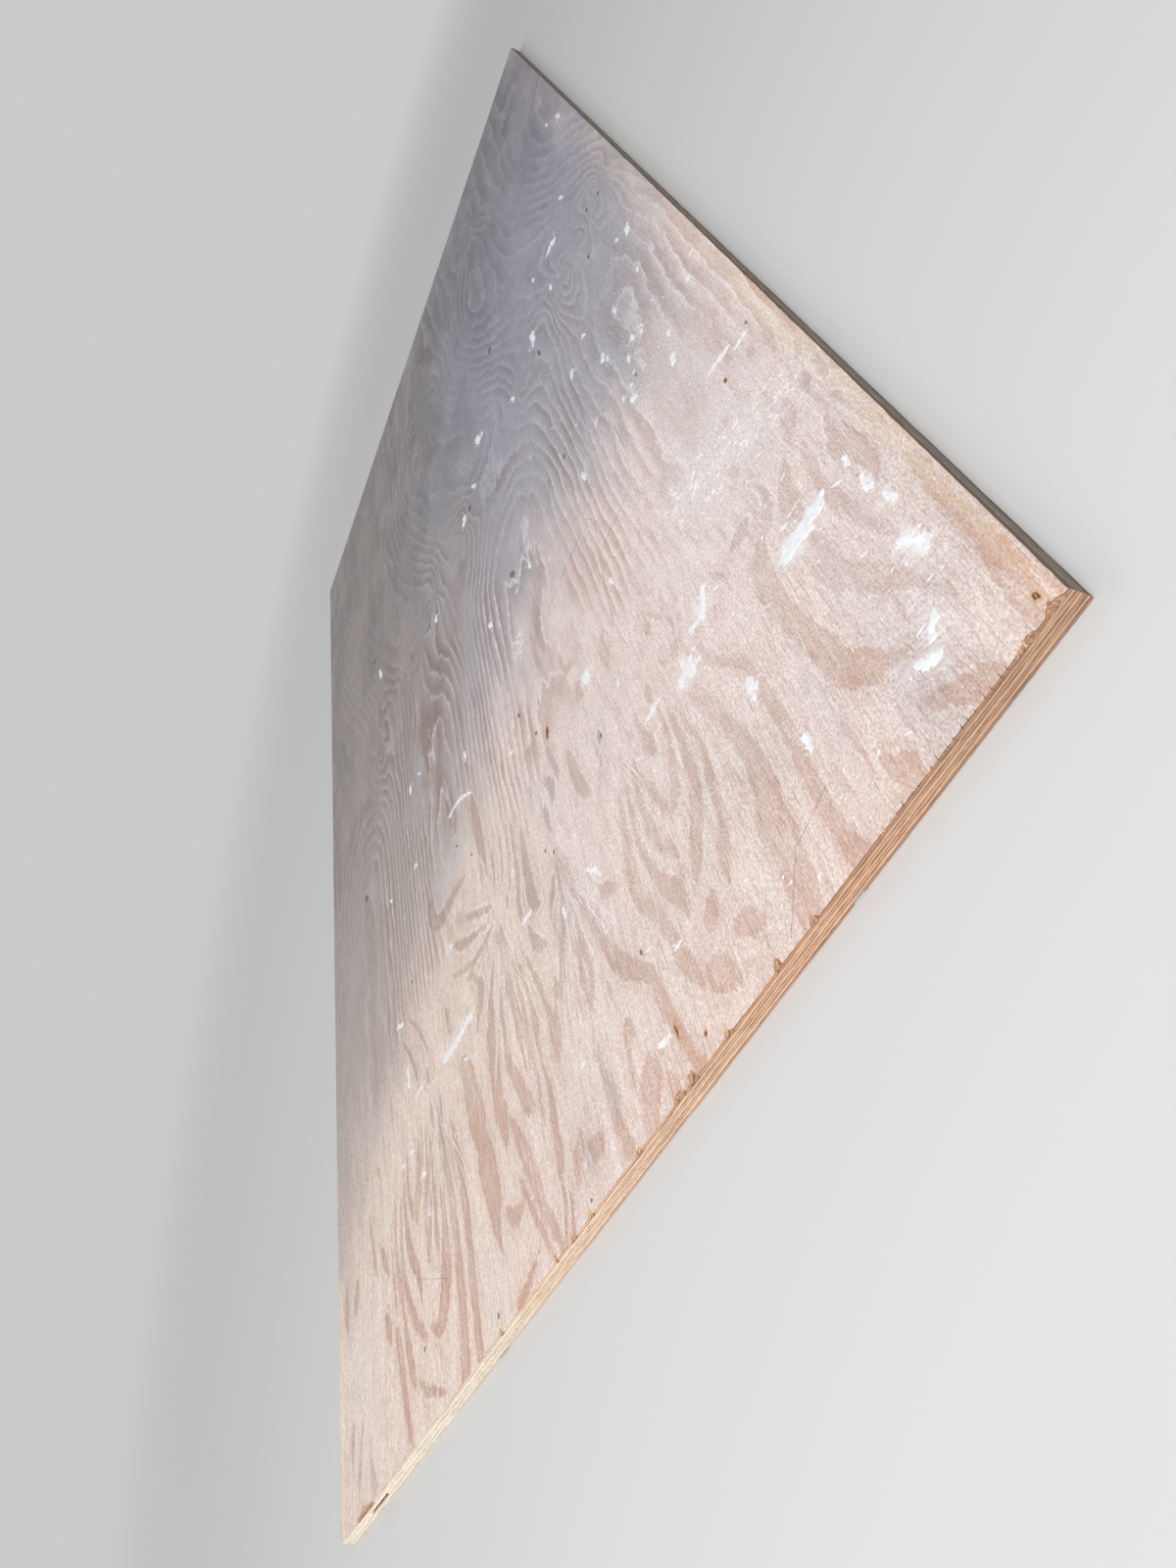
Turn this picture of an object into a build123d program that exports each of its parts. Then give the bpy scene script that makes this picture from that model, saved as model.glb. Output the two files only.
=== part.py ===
"""A used sheet of structural pine plywood, seven veneers glued crosswise, lying flat.

+X runs along the face grain, from the far end to the end that was sawn across.
+Y runs across the sheet, from the lower long edge to the upper one.
+Z points up, out of the face. The origin is the middle of the underside.
"""
import os

from build123d import *

# Driving dimensions in millimetres
sheet_length = 2000.0  # along the face grain, cut from a longer sheet
sheet_width = 1200.0  # across the face grain, as pressed
face_thickness = 2.4  # face and back veneers
crossband_thickness = 2.45  # veneers next to the face and the back, grain across
inner_thickness = 2.4  # veneers either side of the core, grain along
core_thickness = 2.5  # middle veneer, grain across

# Wear along the edges
arris_wear = 0.6  # bevel rubbed onto the face's long edges
back_wear = 1.8  # round rubbed onto the back's upper long edge

# Damage is placed by its share of the sawn end, counted from the upper corner,
# and each row is (share, width along the end, depth into the sheet).
face_chips = [
    (0.009, 14.0, 5.0),
    (0.027, 16.0, 3.5),
    (0.193, 9.0, 7.0),
    (0.228, 8.0, 10.0),
    (0.282, 13.0, 5.0),
    (0.323, 14.0, 8.5),
    (0.338, 18.0, 6.0),
    (0.392, 10.0, 4.5),
    (0.461, 10.0, 3.5),
    (0.488, 12.0, 4.0),
    (0.515, 6.0, 7.5),
    (0.613, 8.0, 5.0),
    (0.930, 57.0, 7.0),
]
back_chips = [
    (0.173, 12.0, 4.0),
    (0.640, 22.0, 3.0),
]

# Uneven row of nicks where the saw teeth lifted the face grain
nick_share_from = 0.040  # share of the sawn end where the row starts
nick_share_to = 0.135  # and where it stops
nick_steps = [5.0, 7.5, 5.5, 8.5, 6.0]  # from each nick to the next, taken in turn
nick_lengths = [2.5, 4.0, 3.0, 2.0]  # into the sheet, taken in turn
nick_width = 0.8
nick_cut = 1.2  # how deep each nick goes down into the face veneer

# Loose knot by the upper sawn corner, measured in from the two edges
knot_from_end = 14.0
knot_from_side = 14.0
knot_length = 6.5
knot_width = 3.6

# Split in the face, which runs with the grain
split_share = 0.323
split_from_end = 43.0
split_length = 29.0
split_width = 1.8

# Bark pocket beside the split
pocket_share = 0.299
pocket_from_end = 17.0
pocket_length = 6.0
pocket_width = 3.2

# Gap where two strips of the core don't meet
gap_share = 0.910
gap_width = 52.0
gap_depth = 9.0

# Corner of the inner veneers broken off at the lower sawn corner
corner_break_length = 7.0
corner_break_width = 6.0

# Heights of the veneers' undersides
back_z = 0.0
lower_crossband_z = back_z + face_thickness
lower_inner_z = lower_crossband_z + crossband_thickness
core_z = lower_inner_z + inner_thickness
upper_inner_z = core_z + core_thickness
upper_crossband_z = upper_inner_z + inner_thickness
face_z = upper_crossband_z + crossband_thickness
top_z = face_z + face_thickness

sawn_end_x = sheet_length / 2
upper_side_y = sheet_width / 2
lower_side_y = -sheet_width / 2
overrun = 1.0  # how far a cutting outline reaches past the edge it cuts


def along_sawn_end(share):
    """Y of a place on the sawn end, from its share counted from the upper corner."""
    return upper_side_y - share * sheet_width


def veneer(thickness):
    """Add one whole veneer to the open part, on the plane it was opened on."""
    Box(sheet_length, sheet_width, thickness, align=(Align.CENTER, Align.CENTER, Align.MIN))


def chip_outline(width, depth, side):
    """Ragged bite in the sawn end: broken across the grain, deepest off its middle."""
    with BuildSketch() as outline:
        with BuildLine():
            Polyline(
                (overrun, -side * width * 0.50),
                (-depth * 0.35, -side * width * 0.42),
                (-depth * 1.00, -side * width * 0.10),
                (-depth * 0.62, side * width * 0.18),
                (-depth * 0.30, side * width * 0.44),
                (overrun, side * width * 0.50),
                close=True,
            )
        make_face()
    return outline.sketch


def nick_outline(length):
    """Narrow V that points into the sheet along the grain."""
    with BuildSketch() as outline:
        with BuildLine():
            Polyline((overrun, -nick_width / 2), (-length, 0), (overrun, nick_width / 2), close=True)
        make_face()
    return outline.sketch


def split_outline():
    """Pointed slit that lies along the grain."""
    with BuildSketch() as outline:
        with BuildLine():
            ThreePointArc((-split_length / 2, 0), (0, split_width / 2), (split_length / 2, 0))
            ThreePointArc((split_length / 2, 0), (0, -split_width / 2), (-split_length / 2, 0))
        make_face()
    return outline.sketch


def corner_break_outline():
    """Broken-off corner, drawn from the corner itself."""
    with BuildSketch() as outline:
        with BuildLine():
            Polyline(
                (overrun, -overrun),
                (-corner_break_length, -overrun),
                (-corner_break_length, 0),
                (-corner_break_length * 0.4, corner_break_width * 0.45),
                (0, corner_break_width),
                (overrun, corner_break_width),
                close=True,
            )
        make_face()
    return outline.sketch


def chips(rows):
    """Add every bite of a list to the open sketch, turned about from one to the next."""
    for index, (share, width, depth) in enumerate(rows):
        side = 1 if index % 2 == 0 else -1
        with Locations((sawn_end_x, along_sawn_end(share))):
            add(chip_outline(width, depth, side))


def nicks():
    """Add the row of narrow saw nicks to the open sketch."""
    y = along_sawn_end(nick_share_from)
    index = 0
    while y > along_sawn_end(nick_share_to):
        with Locations((sawn_end_x, y)):
            add(nick_outline(nick_lengths[index % len(nick_lengths)]))
        y -= nick_steps[index % len(nick_steps)]
        index += 1


def corner_break():
    """Add the broken-off lower corner to the open sketch."""
    with Locations((sawn_end_x, lower_side_y)):
        add(corner_break_outline())


# Face veneer, grain along the sheet, with all the damage that shows from above
with BuildPart(Plane.XY.offset(face_z)) as face_veneer:
    veneer(face_thickness)
    top = face_veneer.faces().sort_by(Axis.Z)[-1]
    chamfer(top.edges().filter_by(Axis.X), arris_wear)
    with BuildSketch(Plane.XY.offset(top_z)):
        chips(face_chips)
        with Locations((sawn_end_x - knot_from_end, upper_side_y - knot_from_side)):
            Ellipse(knot_length / 2, knot_width / 2)
        with Locations((sawn_end_x - pocket_from_end, along_sawn_end(pocket_share))):
            Ellipse(pocket_length / 2, pocket_width / 2)
        with Locations((sawn_end_x - split_from_end, along_sawn_end(split_share))):
            add(split_outline())
    extrude(amount=-face_thickness, mode=Mode.SUBTRACT)
    with BuildSketch(Plane.XY.offset(top_z)):
        nicks()
    extrude(amount=-nick_cut, mode=Mode.SUBTRACT)
face_veneer.part.label = "face_veneer"

# Upper crossband, grain across the sheet, whole under the chips of the face
with BuildPart(Plane.XY.offset(upper_crossband_z)) as upper_crossband:
    veneer(crossband_thickness)
upper_crossband.part.label = "upper_crossband"

# Upper inner ply, grain along the sheet
with BuildPart(Plane.XY.offset(upper_inner_z)) as upper_inner_ply:
    veneer(inner_thickness)
    with BuildSketch(Plane.XY.offset(upper_inner_z)):
        corner_break()
    extrude(amount=inner_thickness, mode=Mode.SUBTRACT)
upper_inner_ply.part.label = "upper_inner_ply"

# Core ply, grain across the sheet, with the gap between two of its strips open at the end
with BuildPart(Plane.XY.offset(core_z)) as core_ply:
    veneer(core_thickness)
    with BuildSketch(Plane.XY.offset(core_z)):
        chips([(gap_share, gap_width, gap_depth)])
        corner_break()
    extrude(amount=core_thickness, mode=Mode.SUBTRACT)
core_ply.part.label = "core_ply"

# Lower inner ply, grain along the sheet
with BuildPart(Plane.XY.offset(lower_inner_z)) as lower_inner_ply:
    veneer(inner_thickness)
lower_inner_ply.part.label = "lower_inner_ply"

# Lower crossband, grain across the sheet
with BuildPart(Plane.XY.offset(lower_crossband_z)) as lower_crossband:
    veneer(crossband_thickness)
lower_crossband.part.label = "lower_crossband"

# Back veneer, grain along the sheet, rubbed round along its upper edge
with BuildPart(Plane.XY.offset(back_z)) as back_veneer:
    veneer(face_thickness)
    bottom = back_veneer.faces().sort_by(Axis.Z)[0]
    fillet(bottom.edges().filter_by(Axis.X).sort_by(Axis.Y)[-1], back_wear)
    with BuildSketch(Plane.XY.offset(back_z)):
        chips(back_chips)
    extrude(amount=face_thickness, mode=Mode.SUBTRACT)
back_veneer.part.label = "back_veneer"

# One file for each veneer, named after it
plies = [
    face_veneer,
    upper_crossband,
    upper_inner_ply,
    core_ply,
    lower_inner_ply,
    lower_crossband,
    back_veneer,
]
os.makedirs("parts", exist_ok=True)
for ply in plies:
    export_step(ply.part, "parts/" + ply.part.label + ".step")
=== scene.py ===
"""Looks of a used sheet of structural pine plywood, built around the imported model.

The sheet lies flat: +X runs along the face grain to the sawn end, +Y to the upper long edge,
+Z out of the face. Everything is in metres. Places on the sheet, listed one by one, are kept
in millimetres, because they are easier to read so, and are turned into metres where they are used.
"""

import math

import bpy
import numpy as np
from mathutils import Matrix, Vector


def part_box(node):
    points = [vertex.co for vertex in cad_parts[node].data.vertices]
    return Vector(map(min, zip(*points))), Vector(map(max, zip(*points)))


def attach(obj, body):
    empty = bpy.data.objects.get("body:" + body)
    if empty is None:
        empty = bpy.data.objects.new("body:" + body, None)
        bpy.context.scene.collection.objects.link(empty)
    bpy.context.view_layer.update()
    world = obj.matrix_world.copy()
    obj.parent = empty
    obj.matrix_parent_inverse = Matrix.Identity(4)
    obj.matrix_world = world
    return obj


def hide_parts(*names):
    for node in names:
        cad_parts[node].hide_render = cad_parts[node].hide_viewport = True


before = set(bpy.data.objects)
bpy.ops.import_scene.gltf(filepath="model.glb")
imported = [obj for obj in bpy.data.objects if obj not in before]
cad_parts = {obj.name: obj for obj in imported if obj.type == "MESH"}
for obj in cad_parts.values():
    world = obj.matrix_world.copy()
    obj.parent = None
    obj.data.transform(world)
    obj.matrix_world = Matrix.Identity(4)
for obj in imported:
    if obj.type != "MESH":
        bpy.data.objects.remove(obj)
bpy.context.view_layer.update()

MM = 0.001
PLY_THICKNESS = 2.4 * MM

# The sheet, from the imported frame
FACE_LOW, FACE_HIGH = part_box("face_veneer")
LENGTH = FACE_HIGH.x - FACE_LOW.x
WIDTH = FACE_HIGH.y - FACE_LOW.y
TOP_Z = FACE_HIGH.z
END_X = LENGTH / 2
SIDE_Y = WIDTH / 2
INNER_PLIES = [
    ("upper_crossband", "pine_across"),
    ("upper_inner_ply", "pine_along"),
    ("core_ply", "pine_across"),
    ("lower_inner_ply", "pine_along"),
    ("lower_crossband", "pine_across"),
]

# Damage along the sawn end, as in the model: share of the end from the upper corner,
# width along the end and depth into the sheet in millimetres
FACE_CHIPS = [
    (0.009, 14.0, 5.0), (0.027, 16.0, 3.5), (0.193, 9.0, 7.0), (0.228, 8.0, 10.0),
    (0.282, 13.0, 5.0), (0.323, 14.0, 8.5), (0.338, 18.0, 6.0), (0.392, 10.0, 4.5),
    (0.461, 10.0, 3.5), (0.488, 12.0, 4.0), (0.515, 6.0, 7.5), (0.613, 8.0, 5.0), (0.93, 57.0, 7.0),
]
BACK_CHIPS = [(0.173, 12.0, 4.0), (0.640, 22.0, 3.0)]
CORE_GAP = [(0.910, 52.0, 9.0)]

# Nicks of the saw: share of the end where the row starts and stops, steps and lengths in turn
NICKS_FROM = 0.040
NICKS_TO = 0.135
NICK_STEPS_MM = (5.0, 7.5, 5.5, 8.5, 6.0)
NICK_LENGTHS_MM = (2.5, 4.0, 3.0, 2.0)
NICK_HALF_WIDTH = 0.28 * MM

# Outline of a chip: places across it in widths, and its depth there as a share of the deepest
CHIP_ACROSS = (-0.5, -0.42, -0.10, 0.18, 0.44, 0.5)
CHIP_DEPTHS = (0, 0.35, 1, 0.62, 0.30, 0)
TORN_DEPTH = 1.5 * MM

# How far the true outline is cut back all round, for the roughness to stand in
EDGE_RECESS_MM = 0.26

# Dark growth bands of the face: x, y and half width of each in millimetres
GROWTH_BANDS = [
    # Upper edge down to y 400
    [(560, 598, 3), (600, 597, 3), (640, 588, 3)], [(560, 581, 4), (596, 576, 4), (608, 570, 3)],
    [(608, 598, 3), (630, 588, 4), (640, 580, 3)], [(655, 592, 4), (690, 590, 4)],
    [(652, 577, 4), (668, 576, 5), (678, 574, 3)], [(703, 582, 2.5), (727, 586, 3), (790, 593, 3)],
    [(808, 592, 3), (850, 589, 5), (900, 588, 6), (950, 586, 8), (998, 582, 10)],
    [(712, 571, 3), (730, 567, 8), (755, 566, 10), (780, 573, 8), (800, 572, 7), (815, 563, 4)],
    [(872, 568, 3), (900, 568, 3)],
    [(700, 546, 3), (727, 541, 5), (775, 538, 7), (822, 544, 5), (860, 556, 3)],
    [(690, 530, 5), (708, 519, 7), (727, 511, 10), (775, 503, 11), (820, 508, 10), (845, 516, 10),
     (868, 528, 9), (893, 543, 6), (940, 559, 3)],
    [(662, 492, 2), (684, 499, 4), (702, 497, 5), (716, 489, 6), (725, 476, 7), (742, 462, 10),
     (775, 458, 11), (822, 465, 9), (870, 473, 12), (888, 474, 12), (905, 488, 12), (918, 500, 8),
     (934, 524, 3)],
    [(687, 477, 9), (690, 465, 8), (690, 450, 10)], [(620, 488, 4), (635, 489, 5), (648, 487, 4)],
    [(672, 419, 3), (702, 431, 5)], [(708, 412, 3), (727, 408, 3)],
    [(715, 378, 3), (755, 390, 5), (786, 410, 5), (822, 414, 6), (870, 417, 6), (917, 415, 6),
     (965, 414, 7), (998, 421, 8)],
    [(962, 463, 2), (975, 470, 6), (985, 475, 9), (998, 472, 11)],
    [(962, 500, 6), (985, 530, 9), (995, 545, 8)], [(548, 560, 4), (572, 560, 4)],
    [(576, 512, 9), (576, 492, 7)], [(648, 555, 6), (665, 552, 8), (680, 545, 7), (693, 535, 5)],
    # y 400 down to 200
    [(738, 363, 5), (762, 361, 9), (810, 372, 8), (858, 380, 10), (905, 374, 15), (953, 373, 15),
     (998, 368, 13)],
    [(923, 368, 1), (948, 374, 1)], [(740, 352, 5), (765, 352, 4)],
    [(827, 352, 1), (845, 356, 4), (862, 359, 5), (885, 358, 4)],
    [(735, 332, 1.5), (790, 341, 3.5), (834, 335, 5), (870, 329, 6), (893, 320, 10), (913, 315, 8)],
    [(705, 323, 2), (770, 323, 4), (815, 318, 8), (855, 300, 9), (885, 284, 8)],
    [(903, 296, 7), (915, 287, 10), (930, 280, 8)],
    [(705, 313, 2.5), (762, 308, 4), (798, 296, 9), (812, 286, 7)],
    [(705, 288, 4), (720, 287, 9), (735, 289, 9), (745, 292, 6)],
    [(715, 261, 1.5), (755, 267, 4), (795, 279, 5), (808, 284, 5)],
    [(720, 256, 2), (780, 254, 5), (815, 262, 8), (848, 275, 7)],
    [(720, 245, 2), (786, 236, 4), (834, 243, 6), (872, 262, 9), (900, 265, 4)],
    [(722, 232, 5), (760, 223, 7), (800, 219, 7), (822, 216, 10), (846, 222, 9), (865, 231, 7),
     (905, 240, 7), (930, 247, 9), (955, 256, 11)],
    [(940, 264, 8), (960, 276, 15), (978, 291, 12)], [(943, 302, 8), (953, 318, 17), (964, 331, 9)],
    [(889, 202, 6), (905, 206, 7), (940, 210, 6), (985, 221, 6), (998, 227, 7)],
    [(975, 191, 5), (998, 192, 8)],
    [(603, 338, 2), (627, 350, 2), (655, 364, 2), (679, 360, 2), (700, 352, 2)],
    [(660, 345, 1.5), (668, 338, 1.5), (684, 338, 1.5), (691, 345, 1.5), (683, 353, 1.5),
     (667, 353, 1.5), (660, 345, 1.5)],
    [(618, 340, 5), (634, 334, 5)], [(672, 309, 5), (685, 309, 6), (698, 306, 4)],
    [(643, 262, 1.5), (667, 260, 1.5), (703, 272, 1.5)], [(548, 276, 6), (572, 274, 9), (592, 272, 8)],
    [(636, 230, 4), (652, 229, 4)], [(660, 224, 2), (679, 214, 2), (703, 200, 2)],
    # y 200 down to 0
    [(596, 177, 4), (615, 176, 8), (640, 178, 8), (665, 185, 7), (683, 194, 5)],
    [(772, 168, 3), (785, 176, 8), (797, 190, 9)],
    [(750, 136, 2), (790, 144, 5), (834, 157, 8), (865, 174, 9), (885, 190, 9), (905, 204, 7)],
    [(903, 157, 6), (915, 155, 9), (925, 152, 7)], [(927, 148, 1.5), (998, 145, 1.5)],
    [(855, 145, 1.5), (876, 144, 1.5)], [(945, 172, 8), (962, 168, 15), (983, 159, 13), (998, 153, 9)],
    [(765, 120, 2), (785, 119, 7), (825, 119, 12), (845, 117, 12), (862, 112, 8)],
    [(680, 116, 1), (727, 123, 2), (750, 129, 2)], [(682, 112, 1), (705, 111, 1.5), (748, 106, 2.5)],
    [(685, 108, 1), (712, 92, 5), (722, 84, 4)],
    [(725, 106, 2), (765, 94, 5), (805, 75, 5), (812, 68, 5)], [(785, 66, 4), (800, 68, 6), (812, 66, 4)],
    [(808, 58, 3), (850, 48, 6), (868, 46, 5)], [(695, 38, 4), (715, 42, 6), (735, 52, 8), (745, 65, 7)],
    [(705, 15, 1.5), (722, 22, 2.5), (768, 36, 4), (810, 45, 5), (866, 46, 5)],
    [(700, 3, 1), (750, 12, 2.5), (795, 16, 5), (835, 17, 2.5), (880, 21, 5), (905, 18, 7),
     (930, 19, 8), (952, 16, 4), (975, 12, 3), (998, 3, 2)],
    [(760, 0, 2), (800, 2, 3), (845, 2, 3), (893, 2, 3)],
    [(928, 54, 3), (940, 55, 10), (952, 47, 9), (975, 36, 4)],
    [(952, 92, 9), (961, 80, 10), (952, 65, 12)], [(965, 26, 3), (998, 18, 3)],
    [(945, 112, 4), (960, 113, 6), (990, 120, 8)], [(548, 141, 4), (585, 147, 4), (610, 150, 3)],
    [(572, 122, 3), (590, 130, 6), (610, 134, 7), (625, 128, 5)],
    [(603, 118, 3), (620, 113, 5), (650, 116, 2)], [(555, 97, 4), (580, 93, 4)],
    [(575, 68, 3), (600, 60, 6), (660, 56, 9), (690, 60, 9), (698, 70, 5)],
    [(545, 44, 3), (631, 36, 4), (655, 30, 5), (686, 29, 3)],
    [(545, 31, 3), (596, 26, 3), (620, 17, 3), (643, 2, 3)], [(545, 13, 3), (584, 10, 3), (608, 2, 3)],
    # y 0 down to -200
    [(545, -8, 2), (579, -12, 2), (598, -18, 2)], [(643, -17, 1.5), (662, -16, 2), (693, -3, 1.5)],
    [(698, -20, 4), (735, -20, 7), (775, -15, 6), (825, -14, 3)],
    [(690, -4, 1.5), (760, -1, 2), (800, -1, 3), (830, -5, 4)],
    [(703, -33, 3), (727, -41, 5), (775, -46, 6), (800, -44, 6), (820, -35, 8), (855, -22, 9),
     (872, -3, 8)],
    [(655, -33, 3), (693, -57, 5), (738, -73, 10), (762, -76, 12), (810, -79, 10), (834, -74, 13),
     (852, -72, 11), (868, -76, 6)],
    [(842, -60, 6), (880, -46, 9), (912, -33, 9), (950, -23, 7), (975, -11, 6), (998, -3, 4)],
    [(900, -60, 3), (925, -50, 4), (950, -41, 4), (965, -33, 4), (998, -19, 4)],
    [(925, -55, 6), (930, -68, 9), (925, -82, 9), (912, -92, 6)],
    [(712, -150, 28), (735, -140, 26), (785, -132, 20), (825, -125, 15), (848, -121, 19),
     (893, -115, 20), (912, -115, 16), (945, -110, 5)],
    [(655, -92, 4), (664, -84, 8), (678, -82, 9), (692, -90, 7), (718, -106, 6)],
    [(620, -178, 4), (640, -174, 6), (668, -167, 4)],
    [(610, -28, 3), (590, -58, 5), (577, -78, 5), (562, -94, 4)],
    [(617, -38, 3), (612, -60, 3), (592, -105, 6), (566, -140, 4)],
    [(632, -32, 3), (632, -85, 4), (615, -130, 4), (600, -150, 4)],
    [(645, -40, 3), (645, -90, 3), (640, -110, 3)], [(975, -42, 2), (988, -66, 5), (998, -92, 6)],
    [(750, -198, 3), (770, -190, 5), (815, -183, 7), (870, -180, 8), (917, -181, 8), (998, -183, 8)],
    # y -200 down to -400
    [(700, -217, 2), (745, -216, 3)],
    [(712, -226, 2), (760, -224, 6), (800, -216, 8), (845, -211, 7), (895, -209, 9), (941, -211, 10),
     (998, -220, 12)],
    [(795, -241, 4), (840, -234, 8), (862, -235, 10), (885, -240, 14), (905, -248, 14), (920, -258, 12),
     (930, -270, 10), (915, -298, 8)],
    [(700, -243, 3), (728, -244, 5)], [(655, -245, 6), (665, -246, 8), (676, -246, 5)],
    [(715, -262, 1.5), (765, -256, 3), (840, -258, 5), (865, -260, 6)],
    [(705, -267, 2), (760, -269, 3.5), (783, -274, 8), (832, -280, 11), (862, -282, 5)],
    [(705, -277, 2), (755, -282, 2)], [(700, -288, 3), (750, -294, 7), (775, -303, 11), (806, -312, 6)],
    [(703, -326, 2), (750, -330, 4), (792, -321, 5)],
    [(715, -340, 2), (775, -345, 4), (820, -336, 8), (855, -316, 8), (888, -312, 5)],
    [(735, -353, 2), (786, -361, 4), (830, -362, 6), (870, -346, 6), (905, -325, 7), (925, -300, 5)],
    [(710, -368, 2), (770, -379, 4), (822, -378, 6), (870, -367, 5), (917, -357, 8), (955, -345, 9)],
    [(945, -338, 2), (965, -318, 5), (978, -292, 4), (988, -270, 2)], [(780, -395, 3), (855, -388, 5)],
    [(870, -395, 5), (893, -386, 8), (941, -377, 7), (988, -366, 5)],
    [(548, -292, 2), (588, -262, 3), (640, -236, 2)], [(560, -318, 2), (610, -290, 3), (650, -276, 2)],
    # y -400 down to the lower edge
    [(665, -430, 4), (684, -420, 4)], [(760, -432, 4), (780, -422, 7), (812, -405, 6)],
    [(705, -470, 4), (750, -458, 5), (790, -448, 4)], [(842, -428, 5), (855, -418, 9), (885, -406, 7)],
    [(755, -520, 8), (775, -525, 9), (795, -532, 6)],
    [(905, -512, 2), (930, -520, 5), (955, -528, 5), (980, -532, 3)],
    [(900, -548, 2), (925, -551, 4), (950, -553, 3)], [(935, -492, 2), (955, -488, 3), (990, -480, 8)],
    [(740, -562, 5), (765, -566, 8), (800, -562, 6)],
    # Brown islands further in
    [(505, 430, 12), (522, 427, 16), (532, 415, 9)], [(492, 466, 10), (510, 480, 14), (522, 494, 8)],
    [(405, 547, 8), (440, 545, 10), (500, 541, 9), (545, 549, 7)], [(365, 567, 8), (395, 574, 9)],
    [(372, 166, 7), (400, 171, 12), (440, 177, 14), (480, 190, 18), (505, 202, 12), (518, 232, 10)],
    [(505, 100, 8), (522, 110, 12), (545, 124, 9)], [(545, 222, 6), (572, 218, 8)],
    [(330, -112, 6), (350, -100, 11), (390, -95, 10), (430, -90, 6)],
    [(420, -35, 8), (460, -35, 11), (545, -28, 8)],
    [(440, -190, 8), (480, -188, 9), (505, -160, 10), (505, -110, 8), (512, -80, 8)],
    [(262, 232, 7), (272, 218, 9), (278, 205, 5)],
]

# Fine growth lines that fan out from a whorl: x, y, reach along, half width of the fan, strength
FANS = [
    (640, -22, 190, 85, 1.0), (674, 112, 190, 75, 1.0), (686, -232, 190, 88, 1.0),
    (646, 232, 120, 55, 0.8), (684, 579, 120, 26, 0.8), (686, 482, 180, 64, 0.75),
]

# Growth lines where no band is listed: x, y, rings raised, reach towards the sawn end,
# reach away from it and half width. Lines run together at each of these points.
STARS = [
    (-60, 548, 4.0, 160, 60, 34), (-75, 455, 5.0, 200, 70, 42), (-70, 300, 3.0, 120, 60, 34),
    (-60, 70, 3.0, 200, 70, 40), (-70, -60, 3.0, 150, 60, 40), (-50, -330, 4.0, 160, 60, 40),
    (-770, 540, 3.0, 160, 60, 40), (-790, 300, 4.0, 200, 60, 40), (-780, 20, 3.5, 200, 60, 40),
    (-800, -260, 4.0, 200, 60, 40), (-760, -480, 3.0, 200, 60, 40),
]

# Flame figures: x, y, rings raised, length, half width and reach behind
TONGUES = [
    (-50, 530, 3.5, 230, 42, 60), (-60, 430, 4.0, 240, 46, 40), (-70, -155, 5.5, 260, 62, 60),
]

# Islands in the figure: x, y, rings raised, half length, half width
ISLES = [
    (395, -122, 1.7, 105, 68), (190, -185, 1.3, 60, 24), (430, 200, 1.4, 90, 44),
    (220, 180, 1.2, 80, 40), (-530, 260, 1.4, 150, 60),
]

# Whorls on the back, in the same way
BACK_WHORLS = [
    (-420, 210, 6.0, 120, 46), (-440, -330, 5.0, 110, 40), (310, 60, 6.0, 130, 50),
    (330, -420, 4.0, 120, 40),
]


def smoothstep(low, high, value):
    """Smooth ramp from 0 at low to 1 at high."""
    t = np.clip((value - low) / (high - low), 0, 1)
    return t * t * (3 - 2 * t)


def lattice_noise(u, v, seed):
    """Smooth noise from -1 to 1, with cells one unit wide."""
    cells = 256
    table = np.random.default_rng(seed).random((cells, cells)) * 2 - 1
    iu = np.floor(u).astype(int)
    iv = np.floor(v).astype(int)
    fu = u - iu
    fv = v - iv
    fu = fu * fu * (3 - 2 * fu)
    fv = fv * fv * (3 - 2 * fv)
    low = table[iu % cells, iv % cells] * (1 - fu) + table[(iu + 1) % cells, iv % cells] * fu
    next_v = (iv + 1) % cells
    high = table[iu % cells, next_v] * (1 - fu) + table[(iu + 1) % cells, next_v] * fu
    return low * (1 - fv) + high * fv


def smooth_path(points, pitch):
    """Points along a smooth curve through the given ones, about a pitch apart."""
    points = np.array(points, dtype=float)
    points = np.vstack([2 * points[0] - points[1], points, 2 * points[-1] - points[-2]])
    path = [points[1:2]]
    for a, b, c, d in zip(points, points[1:], points[2:], points[3:]):
        count = int(math.hypot(c[0] - b[0], c[1] - b[1]) / pitch) + 2
        t = np.linspace(0, 1, count)[1:, None]
        curve = 2 * b + (c - a) * t + (2 * a - 5 * b + 4 * c - d) * t**2 + (3 * b - a - 3 * c + d) * t**3
        path.append(0.5 * curve)
    return np.vstack(path)


# Growth bands in millimetres: how far their edge counts, pitch of their points, where one that
# comes this near the sawn end runs on into it, and how many points at least a loop has
BAND_FADE = 12.0
BAND_PITCH = 1.5
BAND_RUNS_ON = 985
LOOP_POINTS = 40


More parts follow.
